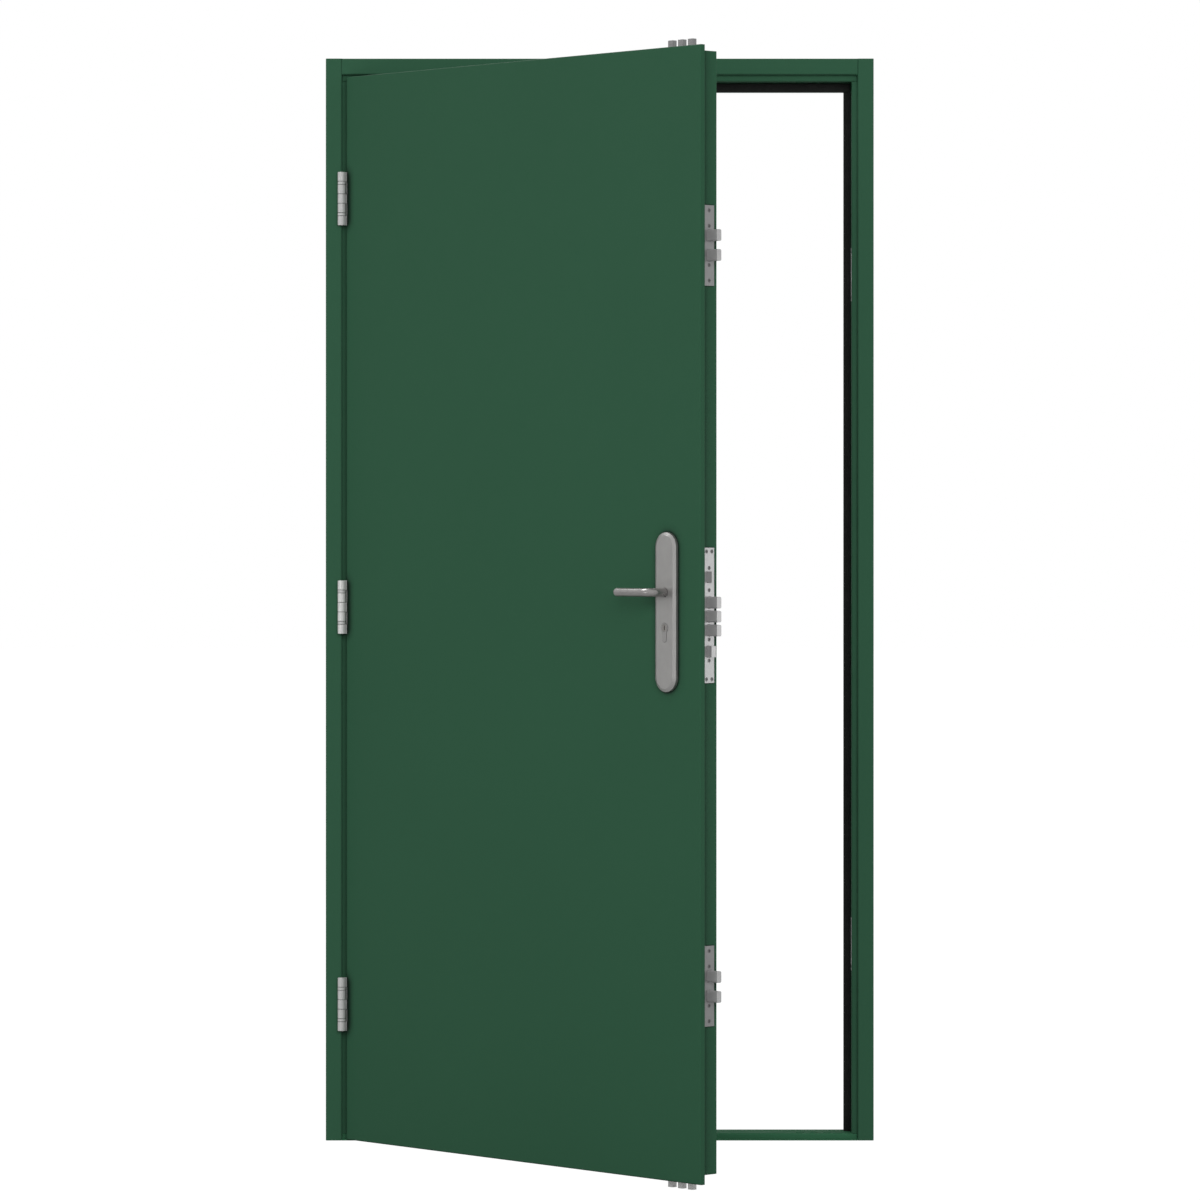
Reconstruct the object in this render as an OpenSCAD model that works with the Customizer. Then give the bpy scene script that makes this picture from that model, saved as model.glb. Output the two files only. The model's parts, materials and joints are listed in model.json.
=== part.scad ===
// Steel security doorset: folded frame, pan-built leaf on butt hinges, multi-point lock.
// The leaf stands open towards the viewer with every bolt thrown.

/* [Frame] */
// Overall width of the frame
frame_w = 1020; // [820:1:1320]
// Overall height of the frame
frame_h = 2014; // [1900:1:2400]
// Depth of the frame from front to back
frame_d = 80; // [74:1:160]
// Width of the front face
face_w = 30; // [24:0.5:70]
// Thickness of the folded frame sheet
frame_sheet = 2; // [1.2:0.1:3]
// Inside radius of the folds in the frame and in the leaf's stiffeners
fold_r = 1; // [0.4:0.1:1.5]
// Depth of the shallow rebate that takes the lip of the leaf
lip_rebate_d = 13; // [12:0.1:20]
// Width of the step between the two rebates at both jambs
jamb_step_w = 10.5; // [8:0.1:16]
// Width of the step between the two rebates at the head
head_step_w = 12; // [8:0.1:20]
// Width of the stop at both jambs
jamb_stop_w = 12.75; // [8:0.05:25]
// Width of the stop at the head
head_stop_w = 16; // [10:0.5:25]
// Width of the flange that turns in behind the stop
back_flange_w = 25; // [12:1:30]
// Height of the threshold
threshold_h = 12; // [8:0.5:16]
// Diameter of the wall fixing holes
fixing_d = 11; // [6:0.5:14]
// Setback of the fixing holes from the back of the frame
fixing_inset = 11; // [8:0.5:14]
// Height of the lowest fixing hole
fixing_low_z = 250; // [120:5:400]
// Distance of the highest fixing hole from the top
fixing_high_drop = 264; // [120:1:400]
// Number of fixing holes in each jamb
fixing_count = 4; // [2:1:5]

/* [Seals] */
// Thickness of the rubber seal
seal_t = 5; // [3:0.1:8]
// Wall thickness of the hollow seal
seal_wall = 1.2; // [0.6:0.1:1.5]
// Corner radius of the seal
seal_r = 1.9; // [1.6:0.1:2.4]
// Overhang of the seal past the nose of the stop
seal_nose = 0.75; // [0:0.05:2]

/* [Leaf] */
// Opening angle of the leaf
open_deg = 47.4; // [0:0.1:170]
// Thickness of the leaf
leaf_t = 50; // [44:0.5:60]
// Thickness of each skin
skin_t = 1; // [0.6:0.1:1.5]
// Outside radius of the folded edges of the skins
skin_r = 1.6; // [1:0.1:2.5]
// Thickness of the overlapping lip
lip_t = 11.3; // [8:0.1:12]
// Overhang of the lip at the lock edge and the hinge edge
lip_side_w = 11; // [6:0.1:16]
// Overhang of the lip at the top
lip_top_w = 9.2; // [5:0.1:16]
// Overhang of the lip at the bottom
lip_bottom_w = 15; // [12:0.1:22]
// Gap between the leaf and the face of the head
head_gap = 5; // [2:0.1:8]
// Gap between the leaf and the floor
floor_gap = 2.5; // [2.2:0.1:6]
// Gap between the leaf and the hinge jamb
hinge_gap = 3; // [2:0.1:5]
// Gap between the lip and the face of the lock jamb
lip_gap = 3; // [2:0.1:5]
// Width of the flanges that join the two skins
seam_w = 14; // [8:0.5:25]
// Thickness of the stiles and the channels
stile_t = 2.5; // [1.5:0.1:4]
// Length of the flanges of the stiles and the channels
stile_flange = 24; // [14:1:40]
// Width of the hollow kept free for the lock
lock_bay_w = 112; // [108:1:160]

/* [Hinges] */
// Height of each hinge
hinge_h = 99; // [80:0.5:130]
// Diameter of the knuckles
barrel_d = 14.7; // [12:0.1:17]
// Diameter of the hinge pin
pin_d = 8; // [6:0.1:10]
// Distance of the hinge axis in front of the frame
axis_out = 9; // [8.6:0.1:12]
// Width of the wings behind the front of the leaf
wing_w = 10; // [9.4:0.1:11]
// Bevel at the ends of the knuckles
knuckle_bevel = 0.6; // [0.2:0.1:1]
// Height of the bearing rings
ring_h = 5.5; // [3:0.1:7]
// Height of the middle of the lowest hinge
hinge_low_z = 254.5; // [150:0.5:400]
// Height of the middle of the middle hinge
hinge_mid_z = 993; // [800:0.5:1100]
// Distance of the middle of the highest hinge from the top
hinge_high_drop = 261.5; // [150:0.5:400]
// Thickness of the backing plates behind the hinge jamb
backing_t = 6; // [3:0.5:10]
// Length of the backing plates past each hinge
backing_over = 12; // [5:1:30]

/* [Lock edge] */
// Height of the middle of the centre faceplate
lock_z = 989; // [900:1:1100]
// Share of the way from the centre lock to the top of the leaf where the upper lock sits
upper_lock_share = 0.649; // [0.5:0.001:0.7]
// Share of the way from the centre lock to the foot of the leaf where the lower lock sits
lower_lock_share = 0.6528; // [0.5:0.0001:0.7]
// Height of the centre faceplate
centre_plate_h = 235; // [220:1:260]
// Height of the side faceplates
side_plate_h = 140; // [130:1:160]
// Width of the faceplates
plate_w = 24; // [18:0.5:28]
// Thickness of the faceplates
plate_t = 2; // [1.2:0.1:3]
// Setback of the faceplates' middle from the front of the leaf
plate_y = 30.5; // [30.5:0.5:34]
// Height of each side bolt
bolt_h = 20.2; // [12:0.1:22]
// Thickness of each side bolt
bolt_w = 10.5; // [8:0.1:13]
// Corner radius of the side bolts
bolt_r = 3; // [0.5:0.1:4]
// Reach of the thrown side bolts past the lock edge
bolt_reach = 26; // [16:0.5:27]
// Spacing of the three centre bolts
centre_bolt_pitch = 24.2; // [22:0.1:26]
// Drop of the centre bolts below the middle of the faceplate
centre_bolt_drop = 1.8; // [0:0.1:4]
// Spacing of the bolts of each side lock
side_bolt_pitch = 34.6; // [26:0.1:40]
// Length of the side bolts inside the leaf
bolt_tail = 30.5; // [26:0.5:31]
// Thickness of the bar that joins the bolts of a lock
carrier_t = 8; // [4:0.5:12]
// Height of the latch bolt above the middle of the faceplate
latch_up = 66.4; // [60:0.1:70]
// Height of the latch bolt
latch_h = 18.8; // [14:0.1:20]
// Reach of the latch bolt past the lock edge
latch_reach = 13; // [8:0.5:14]
// Width of the blunt nose of the latch bolt
latch_nose = 1.6; // [0.8:0.1:3]
// Height of the latch bolt's tail
latch_tail_h = 7; // [4:0.5:8]
// Thickness of the latch bolt's tail
latch_tail_w = 5; // [3:0.5:8]
// Drop of the night bolt below the middle of the faceplate
night_drop = 63; // [62:0.1:66]
// Height of the night bolt
night_h = 19.4; // [14:0.1:20]
// Reach of the night bolt past the lock edge
night_reach = 12.5; // [8:0.5:14]
// Length of the night bolt inside the leaf
night_tail = 45; // [38:0.5:48]
// Depth of the lock cases behind the faceplates
case_deep = 98; // [94:1:104]
// Thickness of the lock cases from side to side
case_w = 18; // [16:0.5:22]
// Wall thickness of the lock cases
case_t = 1.5; // [1:0.1:2]
// Diameter of the screws in the lock edge
edge_screw_d = 4; // [3:0.1:5]
// Head diameter of the screws in the lock edge
edge_head_d = 7; // [5:0.1:8]
// Length of the screws in the lock edge
edge_screw_len = 12; // [8:0.5:20]
// Distances of the side faceplate screws from the middle
side_screw_z = [61, 34]; // [30:0.5:66]
// Distances of the centre faceplate screws from the middle
centre_screw_z = [82.4, 43.8, -78.4]; // [-90:0.1:90]
// Distance of the paired screws from the ends of the centre faceplate
pair_screw_end = 6.5; // [4.5:0.5:8]
// Half spacing of the paired screws
pair_screw_y = 6.4; // [4:0.1:8]

/* [Shoot bolts] */
// Width of each top and bottom bolt along the leaf
shoot_w = 11.8; // [8:0.1:14]
// Thickness of each top and bottom bolt
shoot_d = 9.6; // [7:0.1:12]
// Spacing of the top and bottom bolts
shoot_pitch = 25.1; // [20:0.1:30]
// Setback of the middle shoot bolt from the lock edge
shoot_inset = 67; // [60:0.5:74]
// Reach of the thrown shoot bolts past the leaf
shoot_reach = 14.4; // [10:0.1:18]
// Depth of the guides that hold the shoot bolts
guide_h = 22; // [16:0.5:30]
// Height of the bar that joins the shoot bolts
cross_h = 12; // [8:0.5:16]
// Length of the shoot bolts between the guide and the bar when thrown
cross_drop = 8; // [4:0.5:14]
// Diameter of the drive rods
rod_d = 10; // [6:0.5:12]
// Setback of the drive rods from the lock edge
rod_inset = 86; // [84:0.5:89]
// Length of the drive rods inside the centre lock case
rod_in = 5; // [3:0.5:5]

/* [Handle] */
// Setback of the handle from the lock edge
handle_inset = 71.5; // [69:0.5:74]
// Height of the backplates
backplate_h = 278.5; // [260:0.5:300]
// Width of the backplates
backplate_w = 52.5; // [40:0.5:56]
// Thickness of the backplates
backplate_t = 8; // [5:0.5:10]
// Height of the middle of the backplates above the middle of the centre lock
backplate_up = 5; // [0:0.5:8]
// Width of the ledge around the raised face of a backplate
backplate_ledge = 0.5; // [0.3:0.1:4]
// Width of the bevel around the raised face of a backplate
backplate_bevel = 5; // [0.5:0.1:6]
// Thickness of the raised face of a backplate
backplate_face_t = 3; // [1:0.1:4]
// Height of the lever axis above the middle of the centre lock
lever_up = 39.5; // [36:0.5:42]
// Diameter of the lever bar
lever_d = 15.2; // [12:0.1:20]
// Distance of the lever bar from the leaf
lever_out = 42; // [36:0.5:60]
// Length of the lever from its axis to its tip
lever_len = 89; // [80:0.5:140]
// Radius of the bend of the lever
lever_bend = 16; // [12:0.5:24]
// Radius of the rounded tip of the lever
lever_tip_r = 5; // [1:0.5:7]
// Side of the square spindle
spindle_w = 8; // [6:0.5:10]
// Length of the spindle inside each lever
spindle_in = 20; // [10:0.5:24]
// Diameter of the follower in the lock
hub_d = 26; // [20:0.5:26]
// Length of the arm of the follower
hub_arm_len = 20; // [16:0.5:20]
// Width of the arm of the follower
hub_arm_w = 6; // [4:0.5:6]
// Diameter of the bolts through both backplates
through_d = 5; // [4:0.5:6]
// Head diameter of the bolts through both backplates
through_head_d = 9; // [7:0.5:11]
// Head height of the bolts through both backplates
through_head_t = 3; // [2:0.5:4]
// Distance of the through bolts from the middle of the backplates
through_reach = 121; // [118:0.5:124]

/* [Cylinder] */
// Drop of the key plug below the lever axis
cylinder_drop = 62; // [56:0.5:64]
// Diameter of the round part of the cylinder
cylinder_d = 17; // [15:0.5:18]
// Width of the tail of the cylinder
cylinder_tail_w = 10; // [8:0.5:11]
// Height of the whole cylinder section
cylinder_h = 33; // [28:0.5:34]
// Reach of the cylinder past each backplate
cylinder_proud = 0.5; // [0:0.5:4]
// Gap around the cylinder in the backplates
cylinder_gap = 0.4; // [0.1:0.1:0.8]
// Diameter of the key plug
plug_d = 12.6; // [10:0.1:13]
// Width of the keyway
keyway_w = 2.4; // [1.5:0.1:3]
// Height of the keyway
keyway_h = 8; // [5:0.1:9]
// Depth of the keyway
keyway_deep = 26; // [15:0.5:28]
// Width of the cam
cam_w = 9.4; // [7:0.1:10]
// Reach of the cam from its axis
cam_r = 14; // [12:0.1:14.4]
// Diameter of the core of the thumbturn
thumb_d = 7.4; // [6:0.1:9]
// Offset of the thumbturn from the handle towards the lock edge
thumb_shift = 5.5; // [0:0.5:8]
// Length of the thumbturn's grip
thumb_grip = 28; // [20:0.5:34]
// Thickness of the thumbturn's grip
thumb_grip_w = 8; // [6:0.5:10]
// Reach of the thumbturn's grip past the backplate
thumb_out = 20; // [14:0.5:26]
// Diameter of the thumbturn's collar
thumb_collar_d = 18; // [14:0.5:22]
// Height of the thumbturn's collar
thumb_collar_h = 4; // [2:0.5:6]
// Diameter of the cylinder's fixing screw
cylinder_screw_d = 5; // [4:0.5:5]

/* [Keeps] */
// Height of the keeps of the side locks
keep_h = 99; // [94:0.5:110]
// Distance of a keep's end past the outermost bolt
keep_over = 3.5; // [3:0.1:6]
// Width of the keeps
keep_w = 28; // [24:0.5:34]
// Depth of the boxes behind the keeps
keep_box_d = 24; // [22:0.5:30]
// Overlap of the boxes behind the keeps
keep_lap = 1.6; // [1:0.1:1.8]
// Floor thickness of the boxes behind the keeps
keep_floor_t = 2; // [1:0.5:3]

/* [Screws] */
// Diameter of the hinge screws
hinge_screw_d = 4.6; // [3:0.1:6]
// Head diameter of the hinge screws
hinge_head_d = 8; // [6:0.1:10]
// Head height of all countersunk screws
screw_head_t = 1.2; // [0.8:0.1:1.6]
// Length of the hinge screws
hinge_screw_len = 9; // [6:0.5:14]
// Distances of the hinge screws from the middle of a hinge
hinge_screw_z = [36, 13]; // [8:0.5:42]
// Setback of the hinge screws from the front of the leaf
hinge_screw_y = 5; // [4.6:0.1:5.4]

/* [Clearances] */
// Radial play of the hinge pin
pin_play = 0.05; // [0.02:0.01:0.1]
// Play between pieces fixed to each other
fixed_play = 0.05; // [0.02:0.01:0.2]
// Play between the knuckles of a hinge
knuckle_gap = 0.25; // [0.1:0.05:0.5]
// Gap between the closed leaf and its seal
seal_gap = 0.3; // [0.2:0.05:1]
// Play around turning pieces
turn_play = 0.4; // [0.3:0.05:0.8]
// Play around sliding bolts
slide_play = 0.4; // [0.3:0.05:0.8]
// Play around the thrown bolts in the frame
keep_play = 1.5; // [0.8:0.1:3]

/* [Hidden] */
over = 1;
round_fn = 36;
screw_fn = 16;
wing_t = frame_sheet;
half_open = frame_w / 2 - face_w;
jamb_reveal = half_open - jamb_step_w;
stop_edge = jamb_reveal - jamb_stop_w;
stop_y = leaf_t + seal_gap + seal_t;
head_face_z = frame_h - face_w;
head_reveal_z = head_face_z - head_step_w;
head_stop_z = head_reveal_z - head_stop_w;
fixing_y = frame_d - fixing_inset;
fixing_pitch = (frame_h - fixing_high_drop - fixing_low_z) / (fixing_count - 1);
hinge_high_z = frame_h - hinge_high_drop;
hinge_zs = [hinge_low_z, hinge_mid_z, hinge_high_z];
knuckle_h = (hinge_h - 2 * ring_h - 6 * knuckle_gap) / 5;
ring_low = knuckle_h + knuckle_gap;
knuckle_4 = ring_low + ring_h + knuckle_gap;
knuckle_3 = knuckle_4 + knuckle_h + knuckle_gap;
knuckle_2 = knuckle_3 + knuckle_h + knuckle_gap;
ring_high = knuckle_2 + knuckle_h + knuckle_gap;
knuckle_1 = ring_high + ring_h + knuckle_gap;
leaf_x0 = hinge_gap;
leaf_x1 = 2 * half_open - lip_gap;
leaf_z0 = floor_gap;
leaf_z1 = head_face_z - head_gap;
tray_x0 = leaf_x0 + lip_side_w;
tray_x1 = leaf_x1 - lip_side_w;
tray_z0 = leaf_z0 + lip_bottom_w;
tray_z1 = leaf_z1 - lip_top_w;
hinge_wall_x = tray_x0 + skin_t;
wing_back_x = leaf_x0 + wing_t;
stile_x1 = tray_x1 - skin_t;
stile_x0 = stile_x1 - stile_t;
plate_x0 = stile_x1;
plate_x1 = plate_x0 + plate_t;
channel_z1 = tray_z1 - skin_t;
channel_z0 = tray_z0 + skin_t;
case_x0 = plate_x0 - case_deep;
case_y0 = plate_y - case_w / 2;
case_y1 = plate_y + case_w / 2;
upper_z = lock_z + upper_lock_share * (leaf_z1 - lock_z);
lower_z = lock_z - lower_lock_share * (lock_z - leaf_z0);
pair_screw_z = centre_plate_h / 2 - pair_screw_end;
side_case_half_h = side_screw_z[0] - edge_head_d / 2 - fixed_play;
centre_case_half_h = pair_screw_z - edge_head_d;
centre_bolt_z = lock_z - centre_bolt_drop;
latch_z = lock_z + latch_up;
night_z = lock_z - night_drop;
handle_x = tray_x1 - handle_inset;
backplate_z = lock_z + backplate_up;
lever_z = lock_z + lever_up;
cylinder_z = lever_z - cylinder_drop;
cylinder_low = cylinder_z + cylinder_d / 2 - cylinder_h + cylinder_tail_w / 2;
thumb_x = handle_x + thumb_shift;
rod_x = tray_x1 - rod_inset;
shoot_x = tray_x1 - shoot_inset;
shoot_span = 2 * shoot_pitch + shoot_w;
guide_z1 = channel_z1 - stile_t;
guide_z0 = channel_z0 + stile_t;
cross_top = guide_z1 - guide_h - cross_drop;
cross_low = guide_z0 + guide_h + cross_drop;
core_x0 = tray_x0 + seam_w + skin_t + stile_t;
core_x1 = tray_x1 - lock_bay_w;
core_z0 = channel_z0 + stile_t + stile_flange;
core_z1 = channel_z1 - stile_t - stile_flange;
centre_offsets = [centre_bolt_pitch, 0, -centre_bolt_pitch];
side_offsets = [side_bolt_pitch / 2, -side_bolt_pitch / 2];
shoot_offsets = [-shoot_pitch, 0, shoot_pitch];
side_bolt_span = side_bolt_pitch + bolt_h;
upper_keep_z1 = upper_z + side_bolt_span / 2 + keep_over;
upper_keep_z0 = upper_keep_z1 - keep_h;
lower_keep_z0 = lower_z - side_bolt_span / 2 - keep_over;
lower_keep_z1 = lower_keep_z0 + keep_h;
keep_x0 = jamb_reveal + frame_sheet;
keep_y0 = plate_y - keep_w / 2;
keep_y1 = plate_y + keep_w / 2;
axis_x = -half_open;
axis_y = -axis_out;

// Shapes shared by several pieces

module block(low, high) {
    translate(low) cube(high - low);
}

module round_x(d, x0, x1, y, z, fn = round_fn) {
    translate([x0, y, z]) rotate([0, 90, 0]) cylinder(d = d, h = x1 - x0, $fn = fn);
}

module round_y(d, y0, y1, x, z, fn = round_fn) {
    translate([x, y1, z]) rotate([90, 0, 0]) cylinder(d = d, h = y1 - y0, $fn = fn);
}

module round_z(d, z0, z1, x, y, fn = round_fn) {
    translate([x, y, z0]) cylinder(d = d, h = z1 - z0, $fn = fn);
}

module rounded(w, h, r) {
    square([w - 2 * r, h], center = true);
    square([w, h - 2 * r], center = true);
    for (sx = [-1, 1], sy = [-1, 1]) {
        translate([sx * (w / 2 - r), sy * (h / 2 - r)]) circle(r = r, $fn = screw_fn);
    }
}

module rounded_x(x0, x1, y, z, w, h, r) {
    translate([x0, y, z]) rotate([90, 0, 90]) linear_extrude(x1 - x0) rounded(w, h, r);
}

// Round bar with bevelled ends
module eased_z(d, z0, z1, bevel) {
    translate([0, 0, z0]) rotate_extrude($fn = round_fn) polygon([
        [0, 0], [d / 2 - bevel, 0], [d / 2, bevel],
        [d / 2, z1 - z0 - bevel], [d / 2 - bevel, z1 - z0], [0, z1 - z0]
    ]);
}

function way(from, to) = (to - from) / norm(to - from);

// Section of a sheet folded square along its middle line
module folded(path, t, r) {
    bend = r + t / 2;
    last = len(path) - 1;
    for (i = [0 : last - 1]) {
        along = way(path[i], path[i + 1]);
        from = path[i] + along * (i == 0 ? 0 : bend);
        to = path[i + 1] - along * (i == last - 1 ? 0 : bend);
        side = [abs(along[1]), abs(along[0])] * t / 2;
        low = [min(from[0], to[0]), min(from[1], to[1])] - side;
        high = [max(from[0], to[0]), max(from[1], to[1])] + side;
        translate(low) square(high - low);
    }
    for (i = [1 : last - 1]) {
        inward = way(path[i], path[i - 1]) + way(path[i], path[i + 1]);
        translate(path[i] + inward * bend) intersection() {
            difference() {
                circle(r = r + t, $fn = round_fn);
                circle(r = r, $fn = round_fn);
            }
            translate([min(0, -inward[0]), min(0, -inward[1])] * (r + t)) square(r + t);
        }
    }
}

// Room outside a folded edge along X, with the sheet on the sides sy and sz
module edge_x(x0, x1, y, z, sy, sz) {
    mid_y = y + sy * skin_r;
    mid_z = z + sz * skin_r;
    difference() {
        block([x0, min(y - sy * over, mid_y), min(z - sz * over, mid_z)],
              [x1, max(y - sy * over, mid_y), max(z - sz * over, mid_z)]);
        round_x(2 * skin_r, x0 - over, x1 + over, mid_y, mid_z);
    }
}

// Room outside a folded edge along Z, with the sheet on the sides sx and sy
module edge_z(z0, z1, x, y, sx, sy) {
    mid_x = x + sx * skin_r;
    mid_y = y + sy * skin_r;
    difference() {
        block([min(x - sx * over, mid_x), min(y - sy * over, mid_y), z0],
              [max(x - sx * over, mid_x), max(y - sy * over, mid_y), z1]);
        round_z(2 * skin_r, z0 - over, z1 + over, mid_x, mid_y);
    }
}

// Room outside the four folded edges around one face of a skin
module skin_edges(x0, x1, z0, z1, y, sy) {
    edge_x(x0 - over, x1 + over, y, z0, sy, 1);
    edge_x(x0 - over, x1 + over, y, z1, sy, -1);
    edge_z(z0 - over, z1 + over, x0, y, 1, sy);
    edge_z(z0 - over, z1 + over, x1, y, -1, sy);
}

// Stadium standing in the plane of the leaf
module stadium(w, h, y0, y1, x, z) {
    block([x - w / 2, y0, z - (h - w) / 2], [x + w / 2, y1, z + (h - w) / 2]);
    round_y(w, y0, y1, x, z + (h - w) / 2);
    round_y(w, y0, y1, x, z - (h - w) / 2);
}

// Stadium that is narrower at its outer face
module bevelled_stadium(w, h, inset, y0, y1, x, z) {
    for (s = [-1, 1]) {
        translate([x, y1, z + s * (h - w) / 2]) rotate([90, 0, 0]) {
            cylinder(d1 = w, d2 = w - 2 * inset, h = y1 - y0, $fn = round_fn);
        }
    }
    translate([x, 0, z - (h - w) / 2]) linear_extrude(h - w) polygon([
        [-w / 2, y1], [w / 2, y1], [w / 2 - inset, y0], [inset - w / 2, y0]
    ]);
}

module in_wall() {
    translate([0, -frame_d / 2, 0]) children();
}

// The leaf's own axes: X along it from the hinge axis, Y into it from its front
module on_leaf() {
    in_wall() translate([axis_x, axis_y, 0]) rotate([0, 0, -open_deg]) translate([0, -axis_y, 0]) children();
}

// Other face of the leaf
module inside() {
    translate([0, leaf_t, 0]) mirror([0, 1, 0]) children();
}

// Frame

module jamb_fixings() {
    for (i = [0 : fixing_count - 1]) {
        round_x(fixing_d, -frame_w, frame_w, fixing_y, fixing_low_z + i * fixing_pitch);
    }
}

module jamb_section() {
    half = frame_sheet / 2;
    folded([
        [frame_w / 2 - half, frame_d], [frame_w / 2 - half, half],
        [half_open + half, half], [half_open + half, lip_rebate_d + half],
        [jamb_reveal + half, lip_rebate_d + half], [jamb_reveal + half, stop_y + half],
        [stop_edge + half, stop_y + half], [stop_edge + half, frame_d - half],
        [stop_edge + back_flange_w, frame_d - half]
    ], frame_sheet, fold_r);
}

// Room that the head and the threshold take between the jambs
module head_room() {
    block([-half_open, -over, head_face_z], [half_open, lip_rebate_d, frame_h + over]);
    block([-half_open, lip_rebate_d, head_reveal_z], [half_open, stop_y, frame_h + over]);
    block([-half_open, stop_y, head_stop_z], [half_open, frame_d + over, frame_h + over]);
    block([-half_open, -over, -over], [half_open, frame_d + over, threshold_h]);
}

module hinge_jamb() {
    color("darkslategray") in_wall() difference() {
        mirror([1, 0, 0]) linear_extrude(frame_h) jamb_section();
        head_room();
        jamb_fixings();
        for (z = hinge_zs) {
            block([axis_x - wing_t, -over, z - hinge_h / 2 - fixed_play],
                  [axis_x + over, wing_w + fixed_play, z + hinge_h / 2 + fixed_play]);
        }
    }
}

module bolt_holes(w, h, z_list) {
    for (z = z_list) {
        block([jamb_reveal - over, plate_y - w / 2 - keep_play, z - h / 2 - keep_play],
              [keep_x0 + keep_box_d - keep_floor_t, plate_y + w / 2 + keep_play, z + h / 2 + keep_play]);
    }
}

module centre_holes() {
    bolt_holes(bolt_w, bolt_h, [for (o = centre_offsets) centre_bolt_z + o]);
    bolt_holes(bolt_w, latch_h, [latch_z]);
    bolt_holes(bolt_w, night_h, [night_z]);
}

module keep_window(z0, z1, play) {
    block([jamb_reveal - over, keep_y0 - play, z0 - play], [keep_x0 + over, keep_y1 + play, z1 + play]);
}

module lock_jamb() {
    color("darkslategray") in_wall() difference() {
        linear_extrude(frame_h) jamb_section();
        head_room();
        jamb_fixings();
        keep_window(upper_keep_z0, upper_keep_z1, fixed_play);
        keep_window(lower_keep_z0, lower_keep_z1, fixed_play);
        centre_holes();
    }
}

module head_section() {
    half = frame_sheet / 2;
    folded([
        [frame_d, frame_h - half], [half, frame_h - half],
        [half, head_face_z + half], [lip_rebate_d + half, head_face_z + half],
        [lip_rebate_d + half, head_reveal_z + half], [stop_y + half, head_reveal_z + half],
        [stop_y + half, head_stop_z + half], [frame_d - half, head_stop_z + half],
        [frame_d - half, head_stop_z + back_flange_w]
    ], frame_sheet, fold_r);
}

module along_x(x0, x1) {
    translate([x0, 0, 0]) rotate([90, 0, 90]) linear_extrude(x1 - x0) children();
}

module shoot_holes(z0, z1) {
    for (o = shoot_offsets) {
        x = axis_x + shoot_x + o;
        block([x - shoot_w / 2 - keep_play, plate_y - shoot_d / 2 - keep_play, z0],
              [x + shoot_w / 2 + keep_play, plate_y + shoot_d / 2 + keep_play, z1]);
    }
}

module frame_head() {
    color("darkslategray") in_wall() difference() {
        along_x(-half_open, half_open) head_section();
        shoot_holes(head_reveal_z - over, head_reveal_z + frame_sheet + over);
    }
}

module threshold_section() {
    half = frame_sheet / 2;
    folded([
        [0, half], [frame_d - half, half],
        [frame_d - half, threshold_h - half], [lip_rebate_d + half, threshold_h - half],
        [lip_rebate_d + half, half]
    ], frame_sheet, fold_r);
}

module threshold() {
    color("darkslategray") in_wall() difference() {
        along_x(-half_open, half_open) threshold_section();
        shoot_holes(-over, threshold_h + over);
    }
}

// Seals

module seal_section(w, h) {
    translate([w / 2, h / 2]) difference() {
        rounded(w, h, seal_r);
        rounded(w - 2 * seal_wall, h - 2 * seal_wall, seal_r - seal_wall);
    }
}

module jamb_seal() {
    seal_w = jamb_stop_w + seal_nose - fixed_play;
    translate([stop_edge - seal_nose, stop_y - seal_t, threshold_h]) {
        linear_extrude(head_stop_z - seal_nose - threshold_h) seal_section(seal_w, seal_t);
    }
}

module lock_jamb_seal() {
    color("black") in_wall() jamb_seal();
}

module hinge_jamb_seal() {
    color("black") in_wall() mirror([1, 0, 0]) jamb_seal();
}

module head_seal() {
    half_w = jamb_reveal - fold_r - fixed_play;
    color("black") in_wall() translate([0, stop_y - seal_t, head_stop_z - seal_nose]) {
        along_x(-half_w, half_w) seal_section(seal_t, head_stop_w + seal_nose - fixed_play);
    }
}

// Keeps

module keep_screw_at(z0, z1, d, x0, x1) {
    for (z = [z0 + edge_head_d, z1 - edge_head_d]) {
        for (sy = [-1, 1]) {
            round_x(d, x0, x1, plate_y + sy * (keep_w - edge_head_d - keep_lap) / 2, z, screw_fn);
        }
    }
}

module keep_screw_holes(z0, z1) {
    keep_screw_at(z0, z1, edge_screw_d + 2 * fixed_play, jamb_reveal - over, jamb_reveal + edge_screw_len);
    keep_screw_at(z0, z1, edge_head_d + 2 * fixed_play, jamb_reveal - over, jamb_reveal + screw_head_t);
}

module keep_plate(z0, z1, lock_mid) {
    difference() {
        block([jamb_reveal, keep_y0, z0], [keep_x0, keep_y1, z1]);
        bolt_holes(bolt_w, bolt_h, [for (o = side_offsets) lock_mid + o]);
        keep_screw_holes(z0, z1);
    }
}

module keep_box(z0, z1) {
    block([keep_x0, keep_y0, z0 - keep_lap],
          [keep_x0 + keep_box_d, keep_y1 + keep_lap, z1 + keep_lap]);
}

module side_keep_box(z0, z1, lock_mid) {
    difference() {
        keep_box(z0, z1);
        bolt_holes(bolt_w, side_bolt_span, [lock_mid]);
        keep_screw_holes(z0, z1);
    }
}

module upper_keep() {
    color("silver") in_wall() keep_plate(upper_keep_z0, upper_keep_z1, upper_z);
}

module lower_keep() {
    color("silver") in_wall() keep_plate(lower_keep_z0, lower_keep_z1, lower_z);
}

module upper_keep_box() {
    color("gray") in_wall() side_keep_box(upper_keep_z0, upper_keep_z1, upper_z);
}

module lower_keep_box() {
    color("gray") in_wall() side_keep_box(lower_keep_z0, lower_keep_z1, lower_z);
}

module centre_keep_box() {
    color("gray") in_wall() difference() {
        keep_box(night_z - night_h, latch_z + latch_h);
        centre_holes();
    }
}

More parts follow.
